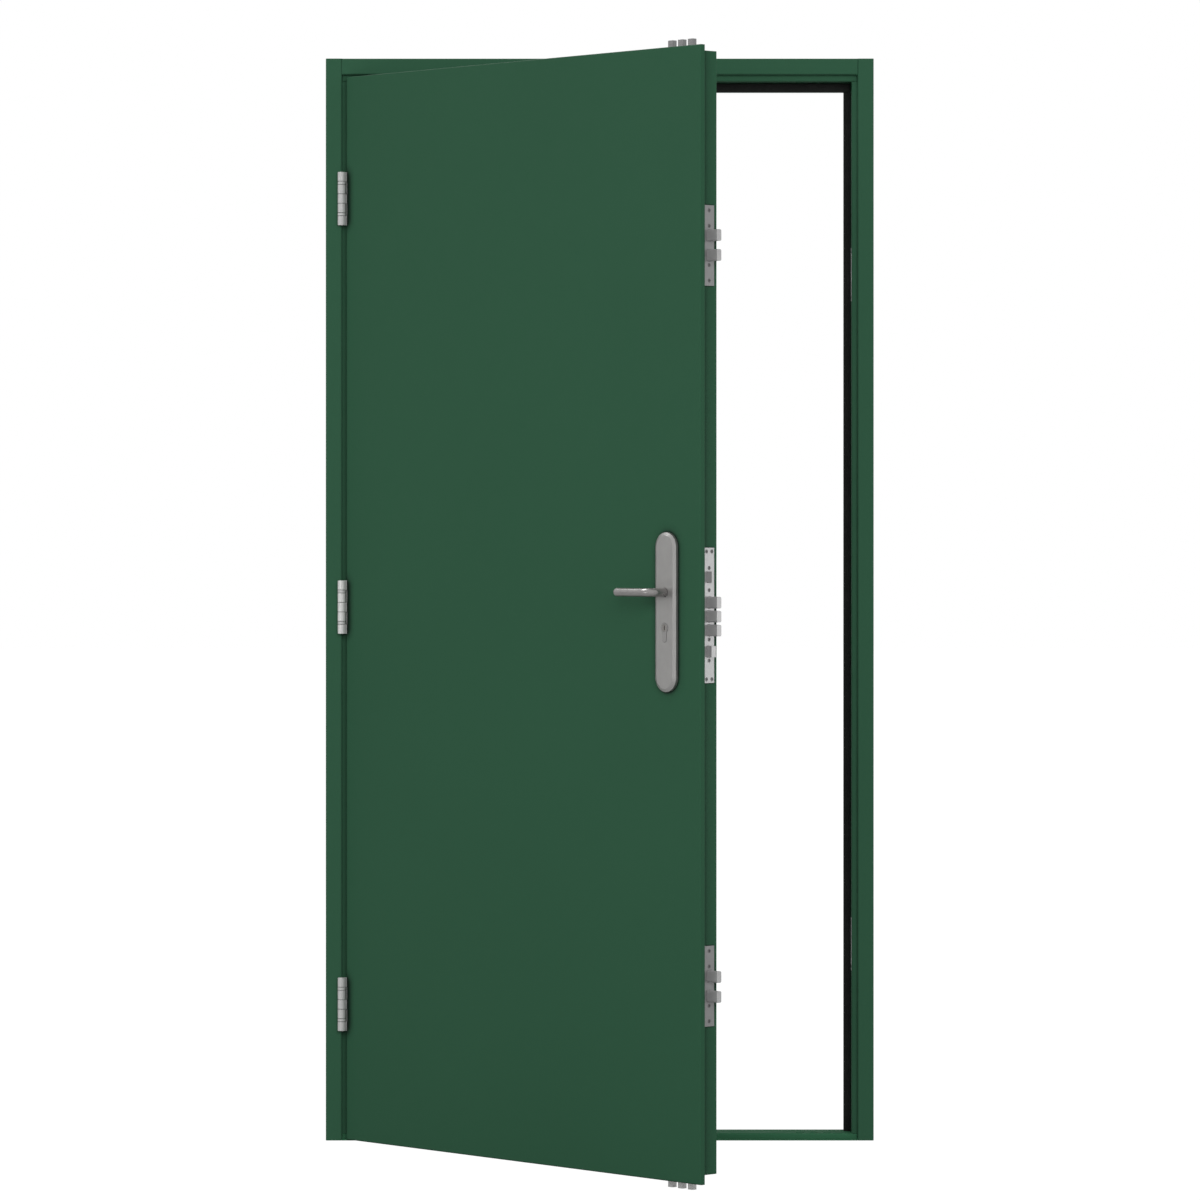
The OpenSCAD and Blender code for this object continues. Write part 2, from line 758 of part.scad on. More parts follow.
module keep_screws() {
    color("silver") in_wall() {
        for (zs = [[upper_keep_z0, upper_keep_z1], [lower_keep_z0, lower_keep_z1]]) {
            keep_screw_at(zs[0], zs[1], edge_screw_d, jamb_reveal, jamb_reveal + edge_screw_len);
            keep_screw_at(zs[0], zs[1], edge_head_d, jamb_reveal, jamb_reveal + screw_head_t);
        }
    }
}

// Hinges, drawn from the hinge axis

module hinge_axis(z) {
    translate([0, axis_y, z - hinge_h / 2]) children();
}

module knuckle(z, wing_x, play) {
    difference() {
        union() {
            eased_z(barrel_d, z, z + knuckle_h, knuckle_bevel);
            block([wing_x, 0, z], [wing_x + wing_t, axis_out + over, z + knuckle_h]);
        }
        round_z(pin_d + 2 * play, z - over, z + knuckle_h + over, 0, 0);
    }
}

module wing_screw_at(x0, x1, d) {
    for (z = hinge_screw_z, s = [-1, 1]) {
        round_x(d, x0, x1, axis_out + hinge_screw_y, hinge_h / 2 + s * z, screw_fn);
    }
}

module frame_wing(z) {
    hinge_axis(z) {
        knuckle(knuckle_2, -wing_t, fixed_play);
        knuckle(knuckle_4, -wing_t, fixed_play);
        difference() {
            block([-wing_t, axis_out, 0], [0, axis_out + wing_w, hinge_h]);
            wing_screw_at(-wing_t - over, over, hinge_screw_d + 2 * fixed_play);
            wing_screw_at(-screw_head_t, over, hinge_head_d + 2 * fixed_play);
        }
    }
}

module leaf_wing(z) {
    hinge_axis(z) {
        knuckle(0, leaf_x0, pin_play);
        knuckle(knuckle_3, leaf_x0, pin_play);
        knuckle(knuckle_1, leaf_x0, pin_play);
        difference() {
            block([leaf_x0, axis_out, 0], [leaf_x0 + wing_t, axis_out + wing_w, hinge_h]);
            wing_screw_at(leaf_x0 - over, leaf_x0 + wing_t + over, hinge_screw_d + 2 * fixed_play);
            wing_screw_at(leaf_x0 - over, leaf_x0 + screw_head_t, hinge_head_d + 2 * fixed_play);
        }
    }
}

module at_jamb() {
    in_wall() translate([axis_x, 0, 0]) children();
}

module upper_hinge_frame_wing() {
    color("lightgray") at_jamb() frame_wing(hinge_high_z);
}

module middle_hinge_frame_wing() {
    color("lightgray") at_jamb() frame_wing(hinge_mid_z);
}

module lower_hinge_frame_wing() {
    color("lightgray") at_jamb() frame_wing(hinge_low_z);
}

module upper_hinge_leaf_wing() {
    color("lightgray") on_leaf() leaf_wing(hinge_high_z);
}

module middle_hinge_leaf_wing() {
    color("lightgray") on_leaf() leaf_wing(hinge_mid_z);
}

module lower_hinge_leaf_wing() {
    color("lightgray") on_leaf() leaf_wing(hinge_low_z);
}

module hinge_pins() {
    color("silver") at_jamb() for (z = hinge_zs) {
        hinge_axis(z) round_z(pin_d, 0, hinge_h, 0, 0);
    }
}

module hinge_bearings() {
    color("dimgray") at_jamb() for (z = hinge_zs, low = [ring_low, ring_high]) {
        hinge_axis(z) difference() {
            eased_z(barrel_d, low, low + ring_h, knuckle_bevel);
            round_z(pin_d + 2 * fixed_play, low - over, low + ring_h + over, 0, 0);
        }
    }
}

module frame_wing_screws() {
    color("silver") at_jamb() for (z = hinge_zs) {
        hinge_axis(z) {
            wing_screw_at(-hinge_screw_len, 0, hinge_screw_d);
            wing_screw_at(-screw_head_t, 0, hinge_head_d);
        }
    }
}

module leaf_wing_screws() {
    color("silver") on_leaf() for (z = hinge_zs) {
        hinge_axis(z) {
            wing_screw_at(leaf_x0, leaf_x0 + hinge_screw_len, hinge_screw_d);
            wing_screw_at(leaf_x0, leaf_x0 + screw_head_t, hinge_head_d);
        }
    }
}

module hinge_backing_plates() {
    color("gray") at_jamb() for (z = hinge_zs) {
        difference() {
            block([-wing_t - backing_t, frame_sheet + fold_r, z - hinge_h / 2 - backing_over],
                  [-wing_t, lip_rebate_d + backing_over, z + hinge_h / 2 + backing_over]);
            hinge_axis(z) wing_screw_at(-wing_t - backing_t - over, over, hinge_screw_d + 2 * fixed_play);
        }
    }
}

// Leaf

module wing_windows() {
    for (z = hinge_zs) {
        block([leaf_x0 - over, -over, z - hinge_h / 2 - fixed_play],
              [wing_back_x, wing_w + fixed_play, z + hinge_h / 2 + fixed_play]);
    }
}

// Holes for the handle, the cylinder and the through bolts
module handle_holes(y0, y1, around) {
    round_y(lever_d + 2 * turn_play, y0, y1, handle_x, lever_z);
    round_y(cylinder_d + 2 * around, y0, y1, handle_x, cylinder_z);
    cylinder_tail(cylinder_tail_w + 2 * around, y0, y1);
    for (s = [-1, 1]) {
        round_y(through_d + 2 * fixed_play, y0, y1, handle_x, backplate_z + s * through_reach, screw_fn);
    }
}

module cylinder_tail(w, y0, y1) {
    block([handle_x - w / 2, y0, cylinder_low], [handle_x + w / 2, y1, cylinder_z]);
    round_y(w, y0, y1, handle_x, cylinder_low);
}

module thumb_hole(y0, y1) {
    round_y(thumb_d + 2 * turn_play, y0, y1, thumb_x, night_z);
}

module outer_skin() {
    color("seagreen") on_leaf() difference() {
        block([leaf_x0, 0, leaf_z0], [leaf_x1, lip_t, leaf_z1]);
        block([leaf_x0 + skin_t, skin_t, leaf_z0 + skin_t],
              [leaf_x1 - skin_t, lip_t - skin_t, leaf_z1 - skin_t]);
        block([tray_x0 + seam_w, skin_t, tray_z0 + seam_w],
              [tray_x1 - seam_w, lip_t + over, tray_z1 - seam_w]);
        skin_edges(leaf_x0, leaf_x1, leaf_z0, leaf_z1, 0, 1);
        skin_edges(leaf_x0, leaf_x1, leaf_z0, leaf_z1, lip_t, -1);
        wing_windows();
        handle_holes(-over, skin_t + over, fixed_play);
    }
}

module faceplate_window(mid, h, play) {
    block([stile_x1 - over, plate_y - plate_w / 2 - play, mid - h / 2 - play],
          [tray_x1 + over, plate_y + plate_w / 2 + play, mid + h / 2 + play]);
}

module shoot_slots(z0, z1, play) {
    for (o = shoot_offsets) {
        x = shoot_x + o;
        block([x - shoot_w / 2 - play, plate_y - shoot_d / 2 - play, z0],
              [x + shoot_w / 2 + play, plate_y + shoot_d / 2 + play, z1]);
    }
}

module inner_skin() {
    color("darkseagreen") on_leaf() difference() {
        block([tray_x0, lip_t, tray_z0], [tray_x1, leaf_t, tray_z1]);
        block([hinge_wall_x, lip_t + skin_t, channel_z0], [stile_x1, leaf_t - skin_t, channel_z1]);
        block([tray_x0 + seam_w, lip_t - over, tray_z0 + seam_w],
              [tray_x1 - seam_w, leaf_t - skin_t, tray_z1 - seam_w]);
        skin_edges(tray_x0, tray_x1, tray_z0, tray_z1, leaf_t, -1);
        faceplate_window(upper_z, side_plate_h, fixed_play);
        faceplate_window(lock_z, centre_plate_h, fixed_play);
        faceplate_window(lower_z, side_plate_h, fixed_play);
        shoot_slots(tray_z0 - over, channel_z0 + over, slide_play);
        shoot_slots(channel_z1 - over, tray_z1 + over, slide_play);
        handle_holes(leaf_t - skin_t - over, leaf_t + over, fixed_play);
        thumb_hole(leaf_t - skin_t - over, leaf_t + over);
    }
}

module leaf_core() {
    color("khaki") on_leaf() block([core_x0, skin_t, core_z0], [core_x1, leaf_t - skin_t, core_z1]);
}

// One strip: a leg behind the hinge wings, then the front, the web and the back flange
module hinge_stile() {
    half = stile_t / 2;
    color("gray") on_leaf() difference() {
        translate([0, 0, core_z0]) linear_extrude(core_z1 - core_z0) folded([
            [wing_back_x + half, lip_t - skin_t], [wing_back_x + half, skin_t + half],
            [core_x0 - half, skin_t + half], [core_x0 - half, leaf_t - skin_t - half],
            [hinge_wall_x, leaf_t - skin_t - half]
        ], stile_t, fold_r);
        for (z = hinge_zs) {
            hinge_axis(z) wing_screw_at(0, leaf_x0 + hinge_screw_len + over, hinge_screw_d + 2 * fixed_play);
        }
    }
}

module case_window(mid, half_h) {
    block([stile_x0 - over, case_y0 - fixed_play, mid - half_h - fixed_play],
          [stile_x1 + over, case_y1 + fixed_play, mid + half_h + fixed_play]);
}

module lock_stile() {
    half = stile_t / 2;
    color("gray") on_leaf() difference() {
        translate([0, 0, core_z0]) linear_extrude(core_z1 - core_z0) folded([
            [stile_x1 - stile_flange, lip_t + skin_t + half], [stile_x1 - half, lip_t + skin_t + half],
            [stile_x1 - half, leaf_t - skin_t - half], [stile_x1 - stile_flange, leaf_t - skin_t - half]
        ], stile_t, fold_r);
        case_window(upper_z, side_case_half_h);
        case_window(lock_z, centre_case_half_h);
        case_window(lower_z, side_case_half_h);
        edge_screws(edge_screw_d + 2 * fixed_play, stile_x0 - over, stile_x1 + over);
    }
}

module channel(open_z, web_z) {
    half = stile_t / 2;
    front = lip_t + skin_t + half;
    back = leaf_t - skin_t - half;
    difference() {
        along_x(hinge_wall_x, stile_x1) folded([
            [front, open_z], [front, web_z], [back, web_z], [back, open_z]
        ], stile_t, fold_r);
        shoot_slots(web_z - stile_t, web_z + stile_t, slide_play);
    }
}

module top_channel() {
    color("gray") on_leaf() channel(core_z1, channel_z1 - stile_t / 2);
}

module bottom_channel() {
    color("gray") on_leaf() channel(core_z0, channel_z0 + stile_t / 2);
}

// Locks

module edge_screws(d, x0, x1) {
    for (mid = [upper_z, lower_z], z = side_screw_z, s = [-1, 1]) {
        round_x(d, x0, x1, plate_y, mid + s * z, screw_fn);
    }
    for (z = centre_screw_z) {
        round_x(d, x0, x1, plate_y, lock_z + z, screw_fn);
    }
    for (s = [-1, 1], t = [-1, 1]) {
        round_x(d, x0, x1, plate_y + t * pair_screw_y, lock_z + s * pair_screw_z, screw_fn);
    }
}

module edge_screw_cuts() {
    edge_screws(edge_screw_d + 2 * fixed_play, plate_x0 - over, plate_x1 + over);
    edge_screws(edge_head_d + 2 * fixed_play, plate_x1 - screw_head_t, plate_x1 + over);
    round_x(cylinder_screw_d + 2 * fixed_play, plate_x0 - over, plate_x1 + over,
            plate_y, cylinder_low, screw_fn);
    round_x(edge_head_d + 2 * fixed_play, plate_x1 - screw_head_t, plate_x1 + over,
            plate_y, cylinder_low, screw_fn);
}

module bolt_slots(h, z_list) {
    for (z = z_list) {
        rounded_x(plate_x0 - over, plate_x1 + over, plate_y, z,
                  bolt_w + 2 * slide_play, h + 2 * slide_play, bolt_r + slide_play);
    }
}

module side_faceplate(mid) {
    difference() {
        block([plate_x0, plate_y - plate_w / 2, mid - side_plate_h / 2],
              [plate_x1, plate_y + plate_w / 2, mid + side_plate_h / 2]);
        bolt_slots(bolt_h, [for (o = side_offsets) mid + o]);
        edge_screw_cuts();
    }
}

module upper_faceplate() {
    color("silver") on_leaf() side_faceplate(upper_z);
}

module lower_faceplate() {
    color("silver") on_leaf() side_faceplate(lower_z);
}

module centre_faceplate() {
    color("silver") on_leaf() difference() {
        block([plate_x0, plate_y - plate_w / 2, lock_z - centre_plate_h / 2],
              [plate_x1, plate_y + plate_w / 2, lock_z + centre_plate_h / 2]);
        bolt_slots(bolt_h, [for (o = centre_offsets) centre_bolt_z + o]);
        block([plate_x0 - over, plate_y - bolt_w / 2 - slide_play, latch_z - latch_h / 2 - slide_play],
              [plate_x1 + over, plate_y + bolt_w / 2 + slide_play, latch_z + latch_h / 2 + slide_play]);
        block([plate_x0 - over, plate_y - bolt_w / 2 - slide_play, night_z - night_h / 2 - slide_play],
              [plate_x1 + over, plate_y + bolt_w / 2 + slide_play, night_z + night_h / 2 + slide_play]);
        edge_screw_cuts();
    }
}

module faceplate_screws() {
    color("silver") on_leaf() {
        edge_screws(edge_screw_d, plate_x1 - edge_screw_len, plate_x1);
        edge_screws(edge_head_d, plate_x1 - screw_head_t, plate_x1);
    }
}

module case_shell(mid, half_h) {
    difference() {
        block([case_x0, case_y0, mid - half_h], [plate_x0, case_y1, mid + half_h]);
        block([case_x0 + case_t, case_y0 + case_t, mid - half_h + case_t],
              [plate_x0 + over, case_y1 - case_t, mid + half_h - case_t]);
        round_z(rod_d + 2 * slide_play, mid - half_h - over, mid + half_h + over, rod_x, plate_y);
        edge_screws(edge_screw_d + 2 * fixed_play, plate_x0 - edge_screw_len, plate_x0 + over);
    }
}

module upper_lock_case() {
    color("gainsboro") on_leaf() case_shell(upper_z, side_case_half_h);
}

module lower_lock_case() {
    color("gainsboro") on_leaf() case_shell(lower_z, side_case_half_h);
}

module centre_lock_case() {
    color("gainsboro") on_leaf() difference() {
        case_shell(lock_z, centre_case_half_h);
        handle_holes(case_y0 - over, case_y1 + over, fixed_play);
        thumb_hole(case_y0 - over, case_y1 + over);
    }
}

module bolt_set(mid, offsets) {
    span = bolt_h + offsets[0] - offsets[len(offsets) - 1];
    tail_x = tray_x1 - bolt_tail;
    for (o = offsets) {
        rounded_x(tail_x, tray_x1 + bolt_reach, plate_y, mid + o, bolt_w, bolt_h, bolt_r);
    }
    block([tail_x, plate_y - bolt_w / 2, mid - span / 2 + bolt_r],
          [tail_x + carrier_t, plate_y + bolt_w / 2, mid + span / 2 - bolt_r]);
}

module centre_bolts() {
    color("silver") on_leaf() bolt_set(centre_bolt_z, centre_offsets);
}

module upper_bolts() {
    color("silver") on_leaf() bolt_set(upper_z, side_offsets);
}

module lower_bolts() {
    color("silver") on_leaf() bolt_set(lower_z, side_offsets);
}

// The latch is bevelled on the side that meets the frame
module latch_bolt() {
    tail_x = tray_x1 - bolt_tail;
    tip_x = tray_x1 + latch_reach;
    front = plate_y - bolt_w / 2;
    back = plate_y + bolt_w / 2;
    tail_z0 = latch_z - latch_tail_h / 2;
    lug_x1 = handle_x - latch_tail_w;
    lug_x0 = lug_x1 - carrier_t;
    color("silver") on_leaf() {
        translate([0, 0, latch_z - latch_h / 2]) linear_extrude(latch_h) polygon([
            [tail_x, front], [tip_x, front], [tip_x, front + latch_nose], [plate_x1, back], [tail_x, back]
        ]);
        block([lug_x0, plate_y - latch_tail_w / 2, tail_z0],
              [tail_x + over, plate_y + latch_tail_w / 2, tail_z0 + latch_tail_h]);
        block([lug_x0, plate_y - latch_tail_w / 2, lever_z + hub_d / 2 + 2 * turn_play],
              [lug_x1, plate_y + latch_tail_w / 2, tail_z0 + over]);
    }
}

module night_bolt() {
    color("silver") on_leaf() {
        block([tray_x1 - night_tail, plate_y - bolt_w / 2, night_z - night_h / 2],
              [tray_x1 + night_reach, plate_y + bolt_w / 2, night_z + night_h / 2]);
    }
}

// Shoot bolts

module shoot_set(tip_z, bar_z0, bar_z1, rod_z0, rod_z1) {
    for (o = shoot_offsets) {
        x = shoot_x + o;
        block([x - shoot_w / 2, plate_y - shoot_d / 2, min(tip_z, bar_z0)],
              [x + shoot_w / 2, plate_y + shoot_d / 2, max(tip_z, bar_z1)]);
    }
    block([shoot_x - shoot_span / 2, plate_y - shoot_d / 2, bar_z0],
          [shoot_x + shoot_span / 2, plate_y + shoot_d / 2, bar_z1]);
    round_z(rod_d, rod_z0, rod_z1, rod_x, plate_y);
}

module top_bolts() {
    color("silver") on_leaf() shoot_set(leaf_z1 + shoot_reach, cross_top - cross_h, cross_top,
                                        lock_z + centre_case_half_h - rod_in, cross_top - cross_h / 2);
}

module bottom_bolts() {
    color("silver") on_leaf() shoot_set(leaf_z0 - shoot_reach, cross_low, cross_low + cross_h,
                                        cross_low + cross_h / 2, lock_z - centre_case_half_h + rod_in);
}

module bolt_guide(z0, z1) {
    difference() {
        block([shoot_x - shoot_span / 2 - carrier_t, lip_t + skin_t + stile_t + fold_r, z0],
              [shoot_x + shoot_span / 2 + carrier_t, leaf_t - skin_t - stile_t - fold_r, z1]);
        shoot_slots(z0 - over, z1 + over, slide_play);
    }
}

module top_bolt_guide() {
    color("dimgray") on_leaf() bolt_guide(guide_z1 - guide_h, guide_z1);
}

module bottom_bolt_guide() {
    color("dimgray") on_leaf() bolt_guide(guide_z0, guide_z0 + guide_h);
}

// Handle

module backplate() {
    difference() {
        union() {
            stadium(backplate_w, backplate_h, backplate_face_t - backplate_t, 0, handle_x, backplate_z);
            bevelled_stadium(backplate_w - 2 * backplate_ledge, backplate_h - 2 * backplate_ledge,
                             backplate_bevel, -backplate_t, backplate_face_t - backplate_t,
                             handle_x, backplate_z);
        }
        handle_holes(-backplate_t - over, over, cylinder_gap);
    }
}

// Blind ends of the through bolts keep the outer face plain
module outer_backplate() {
    color("lightgray") on_leaf() {
        backplate();
        for (s = [-1, 1]) {
            round_y(2 * through_d, -backplate_t, backplate_face_t - backplate_t,
                    handle_x, backplate_z + s * through_reach, screw_fn);
        }
    }
}

module inner_backplate() {
    color("lightgray") on_leaf() difference() {
        inside() backplate();
        thumb_hole(leaf_t - over, leaf_t + backplate_t + over);
    }
}

module backplate_bolts() {
    end_y = leaf_t + backplate_t;
    color("silver") on_leaf() for (s = [-1, 1]) {
        z = backplate_z + s * through_reach;
        round_y(through_d, backplate_face_t - backplate_t, end_y, handle_x, z, screw_fn);
        round_y(through_head_d, end_y, end_y + through_head_t, handle_x, z, screw_fn);
    }
}

module lever_grip() {
    bar_len = lever_len - lever_bend;
    tip = lever_d / 2 - lever_tip_r;
    round_y(lever_d, lever_bend - lever_out, -skin_t, handle_x, lever_z);
    translate([handle_x - lever_bend, lever_bend - lever_out, lever_z]) rotate([0, 0, -90]) {
        rotate_extrude(angle = 90, $fn = round_fn) translate([lever_bend, 0]) {
            circle(d = lever_d, $fn = round_fn);
        }
    }
    translate([handle_x - lever_bend, -lever_out, lever_z]) rotate([0, -90, 0]) {
        rotate_extrude($fn = round_fn) {
            square([lever_d / 2, bar_len - lever_tip_r]);
            square([tip, bar_len]);
            intersection() {
                translate([tip, bar_len - lever_tip_r]) circle(r = lever_tip_r, $fn = round_fn);
                square([lever_d / 2, bar_len]);
            }
        }
    }
}

module square_bar(w, y0, y1) {
    block([handle_x - w / 2, y0, lever_z - w / 2], [handle_x + w / 2, y1, lever_z + w / 2]);
}

module lever() {
    difference() {
        lever_grip();
        square_bar(spindle_w + 2 * fixed_play, -spindle_in - fixed_play, over);
    }
}

module outer_lever() {
    color("lightgray") on_leaf() lever();
}

module inner_lever() {
    color("lightgray") on_leaf() inside() lever();
}

module lever_spindle() {
    color("silver") on_leaf() square_bar(spindle_w, -spindle_in, leaf_t + spindle_in);
}

module lock_follower() {
    y0 = case_y0 + case_t + turn_play;
    y1 = case_y1 - case_t - turn_play;
    color("silver") on_leaf() difference() {
        union() {
            round_y(hub_d, y0, y1, handle_x, lever_z);
            block([handle_x - hub_arm_w / 2, y0, lever_z],
                  [handle_x + hub_arm_w / 2, y1, lever_z + hub_arm_len]);
        }
        square_bar(spindle_w + 2 * fixed_play, y0 - over, y1 + over);
    }
}

// Cylinder

module cylinder_body() {
    y0 = -backplate_t - cylinder_proud;
    y1 = leaf_t + backplate_t + cylinder_proud;
    cam_y0 = plate_y - cam_w / 2 - turn_play;
    cam_y1 = plate_y + cam_w / 2 + turn_play;
    color("lightgray") on_leaf() difference() {
        union() {
            round_y(cylinder_d, y0, y1, handle_x, cylinder_z);
            cylinder_tail(cylinder_tail_w, y0, y1);
        }
        round_y(plug_d + 2 * turn_play, y0 - over, y1 + over, handle_x, cylinder_z);
        round_y(2 * cam_r + 2 * turn_play, cam_y0, cam_y1, handle_x, cylinder_z);
        round_x(cylinder_screw_d + 2 * fixed_play, handle_x - cylinder_d, handle_x + cylinder_d,
                plate_y, cylinder_low, screw_fn);
    }
}

module cylinder_screw() {
    color("silver") on_leaf() {
        round_x(cylinder_screw_d, handle_x, plate_x1, plate_y, cylinder_low, screw_fn);
        round_x(edge_head_d, plate_x1 - screw_head_t, plate_x1, plate_y, cylinder_low, screw_fn);
    }
}

module key_plug() {
    y0 = -backplate_t - cylinder_proud;
    difference() {
        round_y(plug_d, y0, plate_y - cam_w / 2, handle_x, cylinder_z);
        block([handle_x - keyway_w / 2, y0 - over, cylinder_z - keyway_h / 2],
              [handle_x + keyway_w / 2, y0 + keyway_deep, cylinder_z + keyway_h / 2]);
    }
}

module key_plugs() {
    y1 = leaf_t + backplate_t + cylinder_proud;
    color("gold") on_leaf() {
        key_plug();
        difference() {
            round_y(plug_d, plate_y + cam_w / 2, y1, handle_x, cylinder_z);
            block([handle_x - keyway_w / 2, y1 - keyway_deep + backplate_t, cylinder_z - keyway_h / 2],
                  [handle_x + keyway_w / 2, y1 + over, cylinder_z + keyway_h / 2]);
        }
    }
}

module cylinder_cam() {
    y0 = plate_y - cam_w / 2;
    y1 = plate_y + cam_w / 2;
    color("gold") on_leaf() {
        round_y(plug_d, y0, y1, handle_x, cylinder_z);
        intersection() {
            block([handle_x - cam_w / 2, y0, cylinder_z], [handle_x + cam_w / 2, y1, cylinder_z + cam_r]);
            round_y(2 * cam_r, y0, y1, handle_x, cylinder_z);
        }
    }
}

module thumbturn() {
    y1 = leaf_t + backplate_t + turn_play;
    color("lightgray") on_leaf() {
        round_y(thumb_d, case_y0 + case_t + turn_play, y1 + thumb_out, thumb_x, night_z);
        round_y(thumb_collar_d, y1, y1 + thumb_collar_h, thumb_x, night_z);
        block([thumb_x - thumb_grip_w / 2, y1, night_z - thumb_grip / 2],
              [thumb_x + thumb_grip_w / 2, y1 + thumb_out, night_z + thumb_grip / 2]);
    }
}

hinge_jamb();
lock_jamb();
frame_head();
threshold();
hinge_jamb_seal();
lock_jamb_seal();
head_seal();
upper_keep();
lower_keep();
upper_keep_box();
lower_keep_box();
centre_keep_box();
keep_screws();
hinge_backing_plates();
upper_hinge_frame_wing();
middle_hinge_frame_wing();
lower_hinge_frame_wing();
hinge_pins();
hinge_bearings();
frame_wing_screws();
outer_skin();
inner_skin();
leaf_core();
hinge_stile();
lock_stile();
top_channel();
bottom_channel();
upper_hinge_leaf_wing();
middle_hinge_leaf_wing();
lower_hinge_leaf_wing();
leaf_wing_screws();
upper_lock_case();
centre_lock_case();
lower_lock_case();
upper_faceplate();
centre_faceplate();
lower_faceplate();
faceplate_screws();
top_bolt_guide();
bottom_bolt_guide();
outer_backplate();
inner_backplate();
backplate_bolts();
cylinder_body();
cylinder_screw();
outer_lever();
inner_lever();
lever_spindle();
lock_follower();
latch_bolt();
centre_bolts();
upper_bolts();
lower_bolts();
top_bolts();
bottom_bolts();
night_bolt();
thumbturn();
key_plugs();
cylinder_cam();
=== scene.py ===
"""Studio scene of a steel security doorset: its finishes, seals, screw heads, lamps and camera."""

import functools
import json
import logging
import math
from collections.abc import Sequence
from dataclasses import dataclass, field
from enum import Enum

import bmesh
import bpy
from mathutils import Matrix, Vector


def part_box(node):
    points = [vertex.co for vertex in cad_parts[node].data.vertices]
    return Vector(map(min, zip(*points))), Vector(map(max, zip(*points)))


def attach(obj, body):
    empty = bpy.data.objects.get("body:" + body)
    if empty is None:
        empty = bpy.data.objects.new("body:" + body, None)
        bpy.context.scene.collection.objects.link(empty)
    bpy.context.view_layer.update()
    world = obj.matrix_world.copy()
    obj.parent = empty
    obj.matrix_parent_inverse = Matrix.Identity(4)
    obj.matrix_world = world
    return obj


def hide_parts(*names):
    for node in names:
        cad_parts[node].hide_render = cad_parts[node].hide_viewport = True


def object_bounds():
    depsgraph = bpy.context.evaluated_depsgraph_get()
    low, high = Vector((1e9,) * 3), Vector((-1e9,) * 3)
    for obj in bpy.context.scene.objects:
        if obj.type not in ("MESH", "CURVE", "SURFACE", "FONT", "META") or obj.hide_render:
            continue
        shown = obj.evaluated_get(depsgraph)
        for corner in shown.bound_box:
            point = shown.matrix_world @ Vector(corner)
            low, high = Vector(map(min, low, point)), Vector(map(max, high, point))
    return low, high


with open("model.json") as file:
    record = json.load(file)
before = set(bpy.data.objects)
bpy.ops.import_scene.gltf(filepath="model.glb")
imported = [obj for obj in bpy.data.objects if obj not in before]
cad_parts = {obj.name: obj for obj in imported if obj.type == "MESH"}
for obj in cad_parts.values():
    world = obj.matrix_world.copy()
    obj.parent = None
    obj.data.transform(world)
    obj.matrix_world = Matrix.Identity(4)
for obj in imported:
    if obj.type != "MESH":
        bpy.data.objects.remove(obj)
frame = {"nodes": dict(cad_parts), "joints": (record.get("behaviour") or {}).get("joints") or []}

LOG = logging.getLogger("doorset")
CAD_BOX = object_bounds()
MM = 0.001
WHITE = (1.0, 1.0, 1.0, 1.0)
CHIP_STEPS = 255.0
SRGB_KNEE, SRGB_SLOPE = 0.04045, 12.92
SRGB_OFFSET, SRGB_POWER = 0.055, 2.4
SHARP_ANGLE = math.radians(32.0)

Colour = tuple[float, float, float]
Place = tuple[float, float, float]
Socket = bpy.types.NodeSocket


class Slot(Enum):
    """Material slots of the record, named for the new pieces."""

    SCREW_STEEL = "screw_steel"
    SEAL_RUBBER = "seal_rubber"


class Body(Enum):
    """Bodies that a new piece moves with."""

    FRAME = "frame"
    LEAF = "leaf"


class LampReach(Enum):
    """What a lamp lights: only matt light, or only the reflections in gloss and metal."""

    MATT = "matt"
    REFLECTIONS = "reflections"


class Grain(Enum):
    """Polishing lines on a steel piece, as noise cells per metre along X, Y and Z."""

    UPRIGHT = (1500.0, 1500.0, 30.0)
    LEVEL = (45.0, 45.0, 1900.0)
    CROSSED = (1100.0, 1100.0, 700.0)


class Run(Enum):
    """Axis that a seal runs along, with the two axes of its section."""

    ACROSS = (0, 1, 2)
    UPRIGHT = (2, 0, 1)


def chip(red: int, green: int, blue: int) -> Colour:
    """Turns a colour chip in 8-bit steps into linear light.

    Args:
        red: Red step of the chip.
        green: Green step of the chip.
        blue: Blue step of the chip.

    Returns:
        The three linear parts.
    """
    parts = (step / CHIP_STEPS for step in (red, green, blue))
    return tuple(
        part / SRGB_SLOPE if part <= SRGB_KNEE
        else ((part + SRGB_OFFSET) / (1.0 + SRGB_OFFSET)) ** SRGB_POWER
        for part in parts)


def grey(level: float) -> Colour:
    """Makes a plain grey of one level of linear light."""
    return (level, level, level)


def opaque(colour: Colour) -> tuple[float, float, float, float]:
    """Adds a full alpha to a colour."""
    return (*colour, 1.0)


